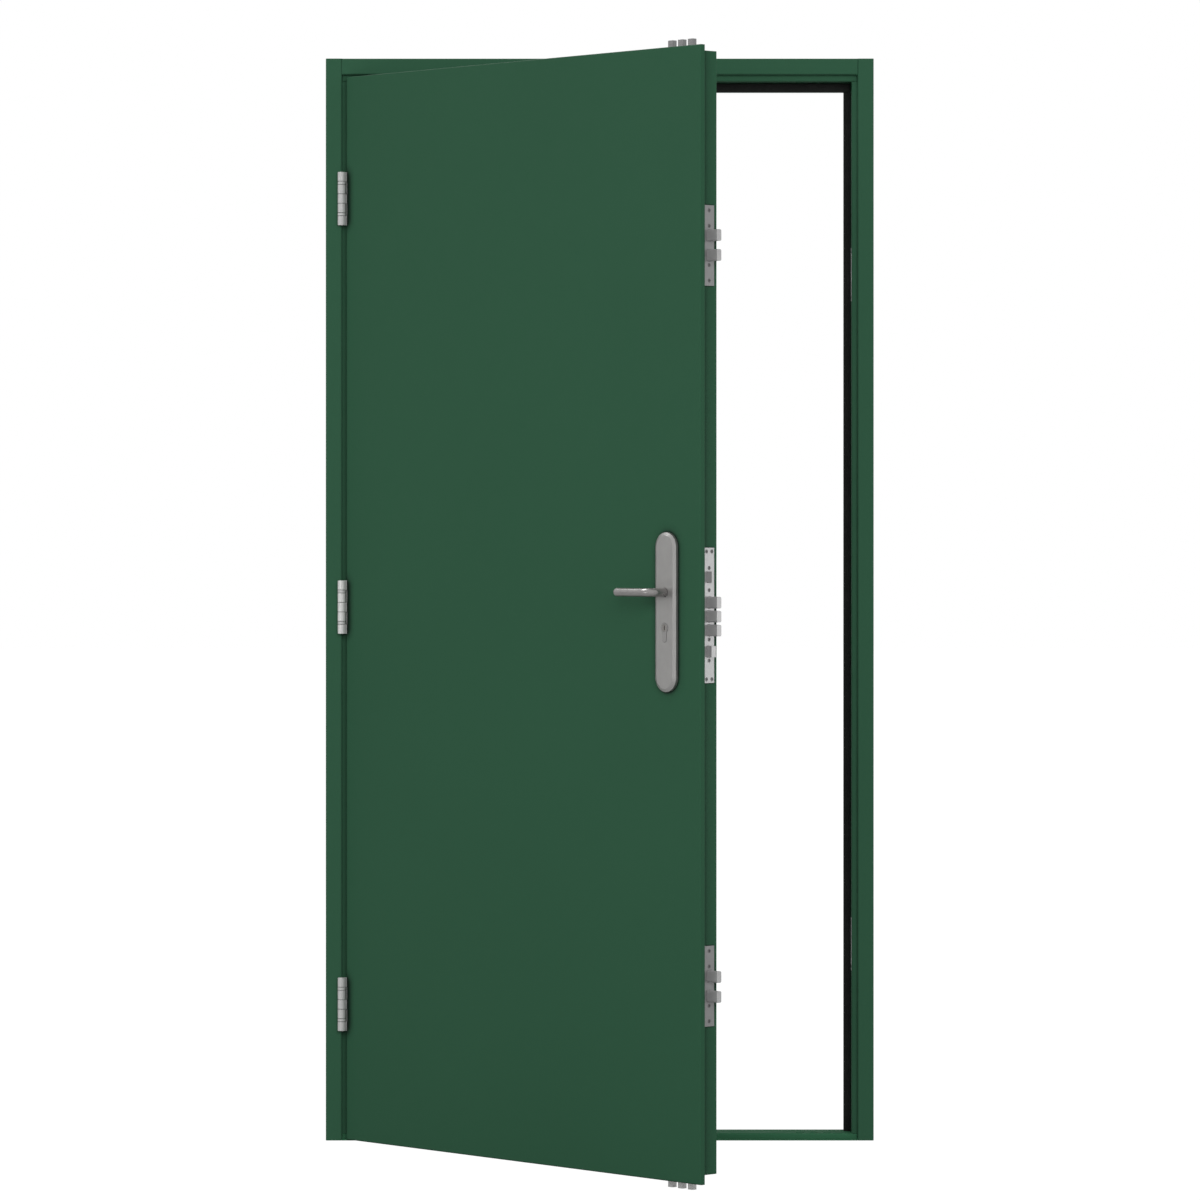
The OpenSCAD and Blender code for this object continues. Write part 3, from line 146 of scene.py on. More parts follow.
class NodeSheet:
    """Places nodes in one shader tree and joins their sockets."""

    NOISE_LOW, NOISE_HIGH = 0.3, 0.7
    MIX_INPUTS, MIX_RESULT = (0, 6, 7), 2

    def __init__(self, tree: bpy.types.NodeTree) -> None:
        """Takes the tree that the nodes go into."""
        self.tree = tree

    def place(
        self, kind: str, values: dict[str, object] | None = None, **options: object,
    ) -> bpy.types.Node:
        """Adds a node.

        Args:
            kind: Blender's name for the node.
            values: Input values by the socket's name.
            **options: Settings of the node itself.

        Returns:
            The new node.
        """
        node = self.tree.nodes.new(kind)
        for name, option in options.items():
            setattr(node, name, option)
        for name, value in (values or {}).items():
            node.inputs[name].default_value = value
        return node

    def feed(self, source: Socket | float | Sequence[float], target: Socket) -> None:
        """Links a socket to another one, or sets it to a plain value.

        Args:
            source: Socket or value that is passed on.
            target: Socket that takes it.
        """
        if isinstance(source, bpy.types.NodeSocket):
            self.tree.links.new(source, target)
        else:
            target.default_value = source

    def math(self, operation: str, *values: Socket | float) -> Socket:
        """Adds a sum.

        Args:
            operation: Blender's name for the sum.
            *values: Sockets or numbers that go into it.

        Returns:
            The socket with the result.
        """
        node = self.place("ShaderNodeMath", operation=operation)
        for value, target in zip(values, node.inputs):
            self.feed(value, target)
        return node.outputs[0]

    def spread(self, source: Socket, low: Socket | float, high: Socket | float) -> Socket:
        """Maps the middle range of a noise onto two values.

        Args:
            source: Socket of the noise.
            low: Value where the noise is low.
            high: Value where the noise is high.

        Returns:
            The socket with the mapped value.
        """
        node = self.place(
            "ShaderNodeMapRange", {"From Min": self.NOISE_LOW, "From Max": self.NOISE_HIGH})
        for value, name in ((source, "Value"), (low, "To Min"), (high, "To Max")):
            self.feed(value, node.inputs[name])
        return node.outputs["Result"]

    def noise(self, where: Socket, scale: Socket | float, detail: float) -> Socket:
        """Adds a noise.

        Args:
            where: Socket of the coordinates.
            scale: Socket or number of cells per metre.
            detail: Number of finer layers.

        Returns:
            The socket with the noise value.
        """
        node = self.place("ShaderNodeTexNoise", {"Detail": detail})
        self.feed(where, node.inputs["Vector"])
        self.feed(scale, node.inputs["Scale"])
        return node.outputs["Fac"]

    def here(self) -> Socket:
        """Gives the coordinates on the piece, in metres."""
        return self.place("ShaderNodeTexCoord").outputs["Object"]

    def tint(self, colour: Socket, noise: Socket, share: Socket) -> Socket:
        """Makes a colour lighter and darker with a noise.

        Args:
            colour: Socket of the colour.
            noise: Socket of the noise.
            share: Socket of the share that the colour changes by.

        Returns:
            The socket with the new colour.
        """
        factor = self.spread(noise, self.math("SUBTRACT", 1.0, share), self.math("ADD", 1.0, share))
        node = self.place("ShaderNodeVectorMath", operation="SCALE")
        self.feed(colour, node.inputs[0])
        self.feed(factor, node.inputs["Scale"])
        return node.outputs[0]

    def blend(self, mask: Socket, under: Socket, above: Socket | Sequence[float]) -> Socket:
        """Mixes two colours by a mask.

        Args:
            mask: Socket of the share of the upper colour.
            under: Socket of the lower colour.
            above: Socket or value of the upper colour.

        Returns:
            The socket with the mixed colour.
        """
        node = self.place("ShaderNodeMix", data_type="RGBA")
        for value, index in zip((mask, under, above), self.MIX_INPUTS):
            self.feed(value, node.inputs[index])
        return node.outputs[self.MIX_RESULT]

    def effect(self, tree: bpy.types.NodeTree, values: dict[str, object]) -> bpy.types.NodeOutputs:
        """Places a shared effect.

        Args:
            tree: Node group of the effect.
            values: Input values by the socket's name.

        Returns:
            The output sockets of the effect.
        """
        node = self.place("ShaderNodeGroup", node_tree=tree)
        for name, value in values.items():
            node.inputs[name].default_value = value
        return node.outputs


class Effects:
    """Shader node groups that several finishes share, each built once."""

    FLOAT, COLOUR, VECTOR = "NodeSocketFloat", "NodeSocketColor", "NodeSocketVector"
    SURFACE = {"Colour": COLOUR, "Roughness": FLOAT, "Height": FLOAT}
    MASK = {"Mask": FLOAT}
    RAYS = 6
    CLOUD_CELLS, CLOUD_LAYERS = 2.6, 4.0
    GLOSS_CELLS, GLOSS_LAYERS = 34.0, 5.0
    PEEL_LAYERS = 1.5
    LINE_CELLS, LINE_LAYERS, LINE_WEIGHT = 1.0, 3.0, 0.5
    SMEAR_CELLS, SMEAR_LAYERS, SMEAR_WEIGHT = 60.0, 4.0, 0.5
    EDGE_FLAT, EDGE_TURNED = 0.995, 0.86
    RUB_CELLS, RUB_LAYERS, RUB_LOW = 85.0, 5.0, 0.25
    DUST_STEEP, DUST_LEVEL = 0.55, 0.98
    DUST_CELLS, DUST_LAYERS, DUST_LOW = 48.0, 6.0, 0.2

    @staticmethod
    def start(
        name: str, inputs: dict[str, str], outputs: dict[str, str],
    ) -> tuple[NodeSheet, bpy.types.NodeOutputs, bpy.types.NodeInputs]:
        """Starts a group with its sockets.

        Args:
            name: Name of the group.
            inputs: Socket kind by input name.
            outputs: Socket kind by output name.

        Returns:
            The group's sheet, the sockets of its inputs and the sockets of its outputs.
        """
        tree = bpy.data.node_groups.new(name, "ShaderNodeTree")
        for way, sockets in (("INPUT", inputs), ("OUTPUT", outputs)):
            for label, kind in sockets.items():
                tree.interface.new_socket(name=label, in_out=way, socket_type=kind)
        sheet = NodeSheet(tree)
        given = sheet.place("NodeGroupInput").outputs
        return sheet, given, sheet.place("NodeGroupOutput").inputs

    @staticmethod
    @functools.lru_cache(maxsize=None)
    def powder_peel() -> bpy.types.NodeTree:
        """Orange peel of a powder coat, with faint clouds in its shade and gloss.

        Returns:
            The node group.
        """
        sheet, given, made = Effects.start("powder_peel", {
            "Colour": Effects.COLOUR, "Cloud Share": Effects.FLOAT, "Peel Cells": Effects.FLOAT,
            "Gloss Low": Effects.FLOAT, "Gloss High": Effects.FLOAT}, Effects.SURFACE)
        where = sheet.here()
        clouds = sheet.noise(where, Effects.CLOUD_CELLS, Effects.CLOUD_LAYERS)
        sheet.feed(sheet.tint(given["Colour"], clouds, given["Cloud Share"]), made["Colour"])
        gloss = sheet.noise(where, Effects.GLOSS_CELLS, Effects.GLOSS_LAYERS)
        sheet.feed(sheet.spread(gloss, given["Gloss Low"], given["Gloss High"]), made["Roughness"])
        sheet.feed(sheet.noise(where, given["Peel Cells"], Effects.PEEL_LAYERS), made["Height"])
        return sheet.tree

    @staticmethod
    @functools.lru_cache(maxsize=None)
    def polish_lines() -> bpy.types.NodeTree:
        """Fine polishing lines of satin steel, with faint cloudy smears.

        Returns:
            The node group.
        """
        sheet, given, made = Effects.start("polish_lines", {
            "Colour": Effects.COLOUR, "Grain": Effects.VECTOR, "Line Share": Effects.FLOAT,
            "Gloss Low": Effects.FLOAT, "Gloss High": Effects.FLOAT}, Effects.SURFACE)
        where = sheet.here()
        drawn = sheet.place("ShaderNodeVectorMath", operation="MULTIPLY")
        sheet.feed(where, drawn.inputs[0])
        sheet.feed(given["Grain"], drawn.inputs[1])
        lines = sheet.noise(drawn.outputs[0], Effects.LINE_CELLS, Effects.LINE_LAYERS)
        smears = sheet.noise(where, Effects.SMEAR_CELLS, Effects.SMEAR_LAYERS)
        smeared = sheet.math("MULTIPLY", smears, Effects.SMEAR_WEIGHT)
        both = sheet.math("MULTIPLY_ADD", lines, Effects.LINE_WEIGHT, smeared)
        sheet.feed(sheet.tint(given["Colour"], both, given["Line Share"]), made["Colour"])
        sheet.feed(sheet.spread(both, given["Gloss Low"], given["Gloss High"]), made["Roughness"])
        sheet.feed(lines, made["Height"])
        return sheet.tree

    @staticmethod
    @functools.lru_cache(maxsize=None)
    def edge_wear_and_shade() -> bpy.types.NodeTree:
        """Mask of a broken line along the outer edges of a piece: wear in most finishes, painted
        shade in satin steel.

        Returns:
            The node group.
        """
        sheet, given, made = Effects.start(
            "edge_wear_and_shade", {"Reach": Effects.FLOAT, "Share": Effects.FLOAT}, Effects.MASK)
        soft = sheet.place("ShaderNodeBevel", samples=Effects.RAYS)
        sheet.feed(given["Reach"], soft.inputs["Radius"])
        turn = sheet.place("ShaderNodeVectorMath", operation="DOT_PRODUCT")
        sheet.feed(soft.outputs["Normal"], turn.inputs[0])
        sheet.feed(sheet.place("ShaderNodeNewGeometry").outputs["Normal"], turn.inputs[1])
        edge = sheet.place("ShaderNodeMapRange", {
            "From Min": Effects.EDGE_FLAT, "From Max": Effects.EDGE_TURNED})
        sheet.feed(turn.outputs["Value"], edge.inputs["Value"])
        edge_noise = sheet.noise(sheet.here(), Effects.RUB_CELLS, Effects.RUB_LAYERS)
        broken = sheet.spread(edge_noise, Effects.RUB_LOW, 1.0)
        edge_marks = sheet.math("MULTIPLY", edge.outputs["Result"], broken)
        sheet.feed(sheet.math("MULTIPLY", edge_marks, given["Share"]), made["Mask"])
        return sheet.tree

    @staticmethod
    @functools.lru_cache(maxsize=None)
    def settled_dust() -> bpy.types.NodeTree:
        """Mask of the thin dust that lies on faces that look up.

        Returns:
            The node group.
        """
        sheet, given, made = Effects.start("settled_dust", {"Share": Effects.FLOAT}, Effects.MASK)
        parts = sheet.place("ShaderNodeSeparateXYZ")
        sheet.feed(sheet.place("ShaderNodeNewGeometry").outputs["Normal"], parts.inputs[0])
        upward = sheet.place("ShaderNodeMapRange", {
            "From Min": Effects.DUST_STEEP, "From Max": Effects.DUST_LEVEL})
        sheet.feed(parts.outputs["Z"], upward.inputs["Value"])
        specks = sheet.noise(sheet.here(), Effects.DUST_CELLS, Effects.DUST_LAYERS)
        patches = sheet.spread(specks, Effects.DUST_LOW, 1.0)
        lying = sheet.math("MULTIPLY", upward.outputs["Result"], patches)
        sheet.feed(sheet.math("MULTIPLY", lying, given["Share"]), made["Mask"])
        return sheet.tree

    @staticmethod
    @functools.lru_cache(maxsize=None)
    def painted_corner_shade() -> bpy.types.NodeTree:
        """Mask of the painted shade in corners and along joints, darkest where the ambient
        occlusion is lowest.

        Returns:
            The node group.
        """
        sheet, given, made = Effects.start("painted_corner_shade", {
            "Reach": Effects.FLOAT, "Share": Effects.FLOAT, "Open": Effects.FLOAT,
            "Shut": Effects.FLOAT}, Effects.MASK)
        corner = sheet.place("ShaderNodeAmbientOcclusion", samples=Effects.RAYS)
        sheet.feed(given["Reach"], corner.inputs["Distance"])
        shut = sheet.place("ShaderNodeMapRange")
        sheet.feed(corner.outputs["AO"], shut.inputs["Value"])
        sheet.feed(given["Open"], shut.inputs["From Min"])
        sheet.feed(given["Shut"], shut.inputs["From Max"])
        sheet.feed(sheet.math("MULTIPLY", shut.outputs["Result"], given["Share"]), made["Mask"])
        return sheet.tree


@dataclass(frozen=True)
class CornerShade:
    """Painted shade in the corners of a finish, none at the open level of light and most at the
    shut one.
    """

    share: float
    reach: float
    open_level: float
    shut_level: float
    colour: Colour = (0.006, 0.012, 0.009)


@dataclass(frozen=True)
class Finish:
    """What every finish of the doorset has in common."""

    name: str
    colour: Colour
    gloss: tuple[float, float] = (0.4, 0.5)
    relief_share: float = 0.3
    relief_depth: float = 0.1 * MM
    edge_radius: float = 0.8 * MM
    corner_shade: CornerShade | None = None

    def start(self) -> tuple[bpy.types.Material, NodeSheet, bpy.types.Node]:
        """Makes the material with one Principled shader.

        Returns:
            The material, its sheet and its shader.
        """
        material = bpy.data.materials.new(self.name)
        material.use_nodes = True
        material.diffuse_color = opaque(self.colour)
        return material, NodeSheet(material.node_tree), material.node_tree.nodes["Principled BSDF"]

    def shade_corners(self, sheet: NodeSheet, colour: Socket) -> Socket:
        """Darkens a colour with painted shade in the corners, where the finish has any.

        Args:
            sheet: Sheet of the material.
            colour: Socket of the clean colour.

        Returns:
            The socket with the shaded colour.
        """
        if self.corner_shade is None:
            return colour
        # Painted shade: the corner mask pulls the colour towards the dark shade colour.
        shade_mask = sheet.effect(Effects.painted_corner_shade(), {
            "Reach": self.corner_shade.reach, "Share": self.corner_shade.share,
            "Open": self.corner_shade.open_level, "Shut": self.corner_shade.shut_level})
        return sheet.blend(shade_mask["Mask"], colour, opaque(self.corner_shade.colour))

    def relief(self, sheet: NodeSheet, shader: bpy.types.Node, height: Socket) -> None:
        """Gives the surface its fine relief over softened edges.

        Args:
            sheet: Sheet of the material.
            shader: Principled shader that takes the normal.
            height: Socket of the relief's height.
        """
        soft = sheet.place("ShaderNodeBevel", {"Radius": self.edge_radius}, samples=Effects.RAYS)
        bump = sheet.place("ShaderNodeBump", {
            "Strength": self.relief_share, "Distance": self.relief_depth})
        sheet.feed(height, bump.inputs["Height"])
        sheet.feed(soft.outputs["Normal"], bump.inputs["Normal"])
        sheet.feed(bump.outputs["Normal"], shader.inputs["Normal"])


@dataclass(frozen=True)
class PowderCoat(Finish):
    """Satin powder coat on folded sheet."""

    specular: float = 0.06
    peel_cells: float = 420.0
    cloud_share: float = 0.016
    edge_wear_and_shade_colour: Colour = (0.075, 0.17, 0.115)
    edge_wear_and_shade_share: float = 0.2
    dust_colour: Colour = (0.26, 0.27, 0.25)
    dust_share: float = 0.02

    @functools.lru_cache(maxsize=None)
    def material(self) -> bpy.types.Material:
        """Builds the coat once.

        Returns:
            The material.
        """
        material, sheet, shader = self.start()
        coat = sheet.effect(Effects.powder_peel(), {
            "Colour": opaque(self.colour), "Cloud Share": self.cloud_share,
            "Peel Cells": self.peel_cells, "Gloss Low": self.gloss[0], "Gloss High": self.gloss[1]})
        edge_line = sheet.effect(Effects.edge_wear_and_shade(), {"Reach": self.edge_radius, "Share": self.edge_wear_and_shade_share})
        dust = sheet.effect(Effects.settled_dust(), {"Share": self.dust_share})
        edge_lined = sheet.blend(edge_line["Mask"], coat["Colour"], opaque(self.edge_wear_and_shade_colour))
        dusty = sheet.blend(dust["Mask"], edge_lined, opaque(self.dust_colour))
        sheet.feed(self.shade_corners(sheet, dusty), shader.inputs["Base Color"])
        sheet.feed(coat["Roughness"], shader.inputs["Roughness"])
        shader.inputs["Specular IOR Level"].default_value = self.specular
        self.relief(sheet, shader, coat["Height"])
        return material


@dataclass(frozen=True)
class PolishedSteel(Finish):
    """Steel, zinc or nickel with polishing lines."""

    relief_share: float = 0.25
    relief_depth: float = 0.02 * MM
    edge_radius: float = 0.4 * MM
    metal: float = 0.5
    grain: Grain = Grain.UPRIGHT
    line_share: float = 0.06
    edge_wear_and_shade_colour: Colour = (0.6, 0.59, 0.58)
    edge_wear_and_shade_share: float = 0.3

    @functools.lru_cache(maxsize=None)
    def material(self) -> bpy.types.Material:
        """Builds the metal once.

        Returns:
            The material.
        """
        material, sheet, shader = self.start()
        lines = sheet.effect(Effects.polish_lines(), {
            "Colour": opaque(self.colour), "Grain": self.grain.value, "Line Share": self.line_share,
            "Gloss Low": self.gloss[0], "Gloss High": self.gloss[1]})
        # Edge line: lighter wear on most steels, painted shade where its colour is dark, as in
        # satin steel.
        edge_line = sheet.effect(Effects.edge_wear_and_shade(), {"Reach": self.edge_radius, "Share": self.edge_wear_and_shade_share})
        edge_lined = sheet.blend(edge_line["Mask"], lines["Colour"], opaque(self.edge_wear_and_shade_colour))
        sheet.feed(self.shade_corners(sheet, edge_lined), shader.inputs["Base Color"])
        sheet.feed(lines["Roughness"], shader.inputs["Roughness"])
        shader.inputs["Metallic"].default_value = self.metal
        self.relief(sheet, shader, lines["Height"])
        return material


@dataclass(frozen=True)
class SoftFill(Finish):
    """Matt rubber of the seals and wool of the core."""

    specular: float = 0.3
    speck_cells: float = 900.0
    cloud_share: float = 0.12
    dust_colour: Colour = (0.1, 0.1, 0.1)
    dust_share: float = 0.15

    @functools.lru_cache(maxsize=None)
    def material(self) -> bpy.types.Material:
        """Builds the soft material once.

        Returns:
            The material.
        """
        material, sheet, shader = self.start()
        skin = sheet.effect(Effects.powder_peel(), {
            "Colour": opaque(self.colour), "Cloud Share": self.cloud_share,
            "Peel Cells": self.speck_cells, "Gloss Low": self.gloss[0],
            "Gloss High": self.gloss[1]})
        dust = sheet.effect(Effects.settled_dust(), {"Share": self.dust_share})
        sheet.feed(sheet.blend(dust["Mask"], skin["Colour"], opaque(self.dust_colour)),
                   shader.inputs["Base Color"])
        sheet.feed(skin["Roughness"], shader.inputs["Roughness"])
        shader.inputs["Specular IOR Level"].default_value = self.specular
        self.relief(sheet, shader, skin["Height"])
        return material


FRAME_COAT = PowderCoat("frame_powder_coat", chip(46, 83, 62))
# Leaf and tray: their corner darkening is painted shade, a halo beside the backplate and hinges and
# a dark line on the tray beside the lip.
LEAF_COAT = PowderCoat(
    "leaf_powder_coat", chip(41, 78, 57), corner_shade=CornerShade(0.95, 20.0 * MM, 0.96, 0.68))
TRAY_COAT = PowderCoat(
    "tray_powder_coat", chip(42, 79, 58), corner_shade=CornerShade(0.95, 36.0 * MM, 0.97, 0.74))
# Sill: the frame's paint made lighter as painted light on the sill, and matt.
SILL_COAT_PAINTED_LIGHT = PowderCoat(
    "sill_powder_coat_painted_light", chip(53, 100, 73), (0.6, 0.72), specular=0.02, dust_share=0.0)
RUBBER = SoftFill("seal_rubber_skin", chip(21, 22, 21), (0.62, 0.8), 0.4, 0.15 * MM)
WOOL = SoftFill(
    "core_wool", chip(196, 176, 138), (0.85, 0.95), 0.8, 1.0 * MM, speck_cells=260.0)
PLATE = PolishedSteel(
    "plate_steel", grey(0.37), (0.28, 0.38), edge_radius=0.3 * MM, metal=0.6)
# Upper and lower faceplates: a darker copy of the plate steel, painted shade.
SIDE_PLATE_PAINTED_DARK = PolishedSteel(
    "side_plate_steel_painted_dark", grey(0.27), (0.3, 0.4), edge_radius=0.3 * MM, metal=0.6)
KEEP = PolishedSteel(
    "keep_steel", (0.6, 0.6, 0.595), (0.32, 0.44), edge_radius=0.3 * MM, metal=0.3)
# Painted shade in the joints between the hinge knuckles.
KNUCKLE_SHADE = CornerShade(0.9, 2.5 * MM, 0.95, 0.5)
HINGE = PolishedSteel(
    "hinge_steel", (0.47, 0.47, 0.465), (0.32, 0.44), corner_shade=KNUCKLE_SHADE, metal=0.3,
    edge_wear_and_shade_share=0.15)
# Middle hinge: a lighter copy of the hinge steel, a painted highlight where it catches the light.
HINGE_PAINTED_LIGHT = PolishedSteel(
    "hinge_steel_painted_light", (0.58, 0.58, 0.57), (0.3, 0.42), corner_shade=KNUCKLE_SHADE, metal=0.3,
    edge_wear_and_shade_share=0.15)
BOLT = PolishedSteel("bolt_steel", grey(0.45), (0.32, 0.44), grain=Grain.CROSSED)
# Top and bottom shoot bolts are one steel: the top one is painted darker as painted shade, the
# bottom one lighter as painted light.
TOP_SHOOT_PAINTED_DARK = PolishedSteel("shoot_steel", grey(0.25), (0.34, 0.46), grain=Grain.CROSSED)
LOW_SHOOT_PAINTED_LIGHT = PolishedSteel(
    "low_shoot_steel_painted_light", (0.7, 0.7, 0.69), (0.34, 0.46), grain=Grain.CROSSED)
# Satin steel: its dark edge line is painted shade along the bevel crease and the rim of the
# backplate.
SATIN = PolishedSteel(
    "satin_steel", (0.37, 0.365, 0.357), (0.3, 0.42), edge_radius=1.2 * MM, metal=0.8,
    edge_wear_and_shade_colour=(0.12, 0.115, 0.11), edge_wear_and_shade_share=0.9)
LEVER = PolishedSteel(
    "lever_steel", (0.31, 0.3, 0.295), (0.25, 0.34), metal=0.85, grain=Grain.LEVEL)
SCREW = PolishedSteel(
    "screw_metal", grey(0.15), (0.34, 0.46), edge_radius=0.15 * MM, metal=0.7,
    grain=Grain.CROSSED)
ZINC = PolishedSteel(
    "zinc_sheet", (0.42, 0.43, 0.44), (0.4, 0.55), 0.3, 0.03 * MM, 0.3 * MM, metal=0.8,
    grain=Grain.CROSSED, line_share=0.14)
CYLINDER = PolishedSteel(
    "cylinder_nickel", (0.31, 0.305, 0.3), (0.28, 0.4), edge_radius=0.25 * MM, metal=0.65,
    grain=Grain.CROSSED)
PLUG = PolishedSteel(
    "plug_nickel", (0.27, 0.26, 0.245), (0.26, 0.36), edge_radius=0.2 * MM, metal=0.7,
    grain=Grain.CROSSED)


def paint(piece: bpy.types.Object, finish: Finish) -> None:
    """Gives a piece one finish, in place of any that it has."""
    piece.data.materials.clear()
    piece.data.materials.append(finish.material())


def way_of(joint_name: str) -> Vector:
    """Gives the unit vector of a joint's axis in the rest pose."""
    joint = next(j for j in frame["joints"] if j["name"] == joint_name)
    return Vector(joint["axis"]).normalized()


@dataclass
class Skin:
    """Corners and faces of a piece while it is being made."""

    corners: list[Vector] = field(default_factory=list)
    faces: list[tuple[int, ...]] = field(default_factory=list)

    def tube(self, rings: Sequence[Sequence[Vector]]) -> None:
        """Adds a closed skin over rings that all have as many corners.

        Args:
            rings: Rings of corners from one end to the other.
        """
        first, steps = len(self.corners), len(rings[0])
        for ring in rings:
            self.corners.extend(ring)
        last = len(self.corners) - steps
        for low in range(first, last, steps):
            for step in range(steps):
                here, beside = low + step, low + (step + 1) % steps
                self.faces.append((here, beside, beside + steps, here + steps))
        self.faces.append(tuple(reversed(range(first, first + steps))))
        self.faces.append(tuple(range(last, last + steps)))

    def piece(self, name: str, body: Body, slot: Slot, node: str) -> bpy.types.Object:
        """Makes the piece and lets it stand for a node.

        Args:
            name: Name of the piece.
            body: Body that it moves with.
            slot: Material slot that it belongs to; not used.
            node: Node that it stands for.

        Returns:
            The new piece.
        """
        mesh = bpy.data.meshes.new(name)
        mesh.from_pydata(self.corners, [], self.faces)
        shape = bmesh.new()
        shape.from_mesh(mesh)
        bmesh.ops.recalc_face_normals(shape, faces=shape.faces)
        shape.to_mesh(mesh)
        shape.free()
        mesh.polygons.foreach_set("use_smooth", [True] * len(mesh.polygons))
        mesh.set_sharp_from_angle(angle=SHARP_ANGLE)
        made = bpy.data.objects.new(name, mesh)
        bpy.context.scene.collection.objects.link(made)
        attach(made, body.value)
        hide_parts(node)
        return made


@dataclass
class SubAssembly:
    """Pieces of the doorset that are built and dressed together."""

    def build(self) -> None:
        """Makes the pieces that stand for nodes; none unless a sub-assembly has some."""

    def dress(self) -> None:
        """Gives the pieces their finishes."""
        raise NotImplementedError

    def coat(self, finish: Finish, *nodes: str) -> None:
        """Gives solids one finish.

        Args:
            finish: Finish to give them.
            *nodes: Names of the solids.
        """
        for node in nodes:
            paint(frame["nodes"][node], finish)
            LOG.info("%s: %s in %s", type(self).__name__, node, finish.name)


@dataclass
class ScrewRow:
    """Screws of one node, remade with a six-lobe recess in each head."""

    node: str
    body: Body
    facing: Vector
    head_depth: float = 1.2 * MM
    chamfer: float = 0.25 * MM
    recess_share: float = 0.48
    lobe_share: float = 0.1
    foot_share: float = 0.9
    recess_depth: float = 1.0 * MM
    lobes: int = 6
    steps: int = 36
    merge_within: float = 0.001 * MM

    def solids(self) -> list[list[Vector]]:
        """Splits the node's mesh into its separate screws.

        Returns:
            The corner points of each screw.
        """
        mesh = bmesh.new()
        mesh.from_mesh(frame["nodes"][self.node].data)
        bmesh.ops.remove_doubles(mesh, verts=mesh.verts, dist=self.merge_within)
        left = dict.fromkeys(mesh.verts)
        found: list[list[Vector]] = []
        while left:
            reached, queue = [], [left.popitem()[0]]
            while queue:
                corner = queue.pop()
                reached.append(corner.co.copy())
                for edge in corner.link_edges:
                    other = edge.other_vert(corner)
                    if other in left:
                        del left[other]
                        queue.append(other)
            found.append(reached)
        mesh.free()
        return found

    def rings(self, points: list[Vector]) -> list[list[Vector]]:
        """Measures a screw and lays out the rings of its skin.

        Args:
            points: Corner points of the screw's solid.

        Returns:
            The rings from the tip of the shank to the floor of the recess.
        """
        top = max(p.dot(self.facing) for p in points)
        depths = [top - p.dot(self.facing) for p in points]
        length = max(depths)
        rim = [p for p, depth in zip(points, depths) if depth < self.chamfer]
        middle = sum(rim, Vector()) / len(rim)
        head = max((p - middle).length for p in rim)
        tip = middle - self.facing * length
        foot = [p for p, depth in zip(points, depths) if length - depth < self.chamfer]
        shank = max((p - tip).length for p in foot)
        recess = head * self.recess_share
        outline = (
            (shank, length, 0.0), (shank, self.head_depth, 0.0), (head, self.head_depth, 0.0),
            (head, self.chamfer, 0.0), (head - self.chamfer, 0.0, 0.0),
            (recess, 0.0, self.lobe_share),
            (recess * self.foot_share, self.recess_depth, self.lobe_share),
        )
        side = self.facing.orthogonal().normalized()
        across = self.facing.cross(side)
        made = []
        for radius, depth, lobe in outline:
            ring = []
            for step in range(self.steps):
                angle = math.tau * step / self.steps
                reach = radius * (1.0 + lobe * math.cos(self.lobes * angle))
                spoke = side * math.cos(angle) + across * math.sin(angle)
                ring.append(middle + spoke * reach - self.facing * depth)
            made.append(ring)
        return made

    def build(self) -> bpy.types.Object:
        """Makes the row as one piece that stands for its node.

        Returns:
            The new piece.
        """
        skin = Skin()
        for points in self.solids():
            skin.tube(self.rings(points))
        return skin.piece(f"{self.node}_heads", self.body, Slot.SCREW_STEEL, self.node)


@dataclass
class ScrewWork(SubAssembly):
    """All the screws on the frame and the leaf."""

    bolt_head: float = 3.0 * MM
    made: list[bpy.types.Object] = field(default_factory=list)

    def build(self) -> None:
        """Makes every row of screws, each facing out of what it holds."""
        to_right = Vector((1.0, 0.0, 0.0))
        to_lock = -way_of("centre_bolts_slide")
        to_inside = Vector((0.0, 0.0, 1.0)).cross(to_lock)
        rows = (
            ScrewRow("frame_wing_screws", Body.FRAME, to_right),
            ScrewRow("keep_screws", Body.FRAME, -to_right),
            ScrewRow("leaf_wing_screws", Body.LEAF, -to_lock),
            ScrewRow("faceplate_screws", Body.LEAF, to_lock),
            ScrewRow("cylinder_screw", Body.LEAF, to_lock),
            ScrewRow("backplate_bolts", Body.LEAF, to_inside, head_depth=self.bolt_head),
        )
        self.made = [row.build() for row in rows]

    def dress(self) -> None:
        """Paints every row."""
        for piece in self.made:
            paint(piece, SCREW)
            LOG.info("ScrewWork: %s in %s", piece.name, SCREW.name)


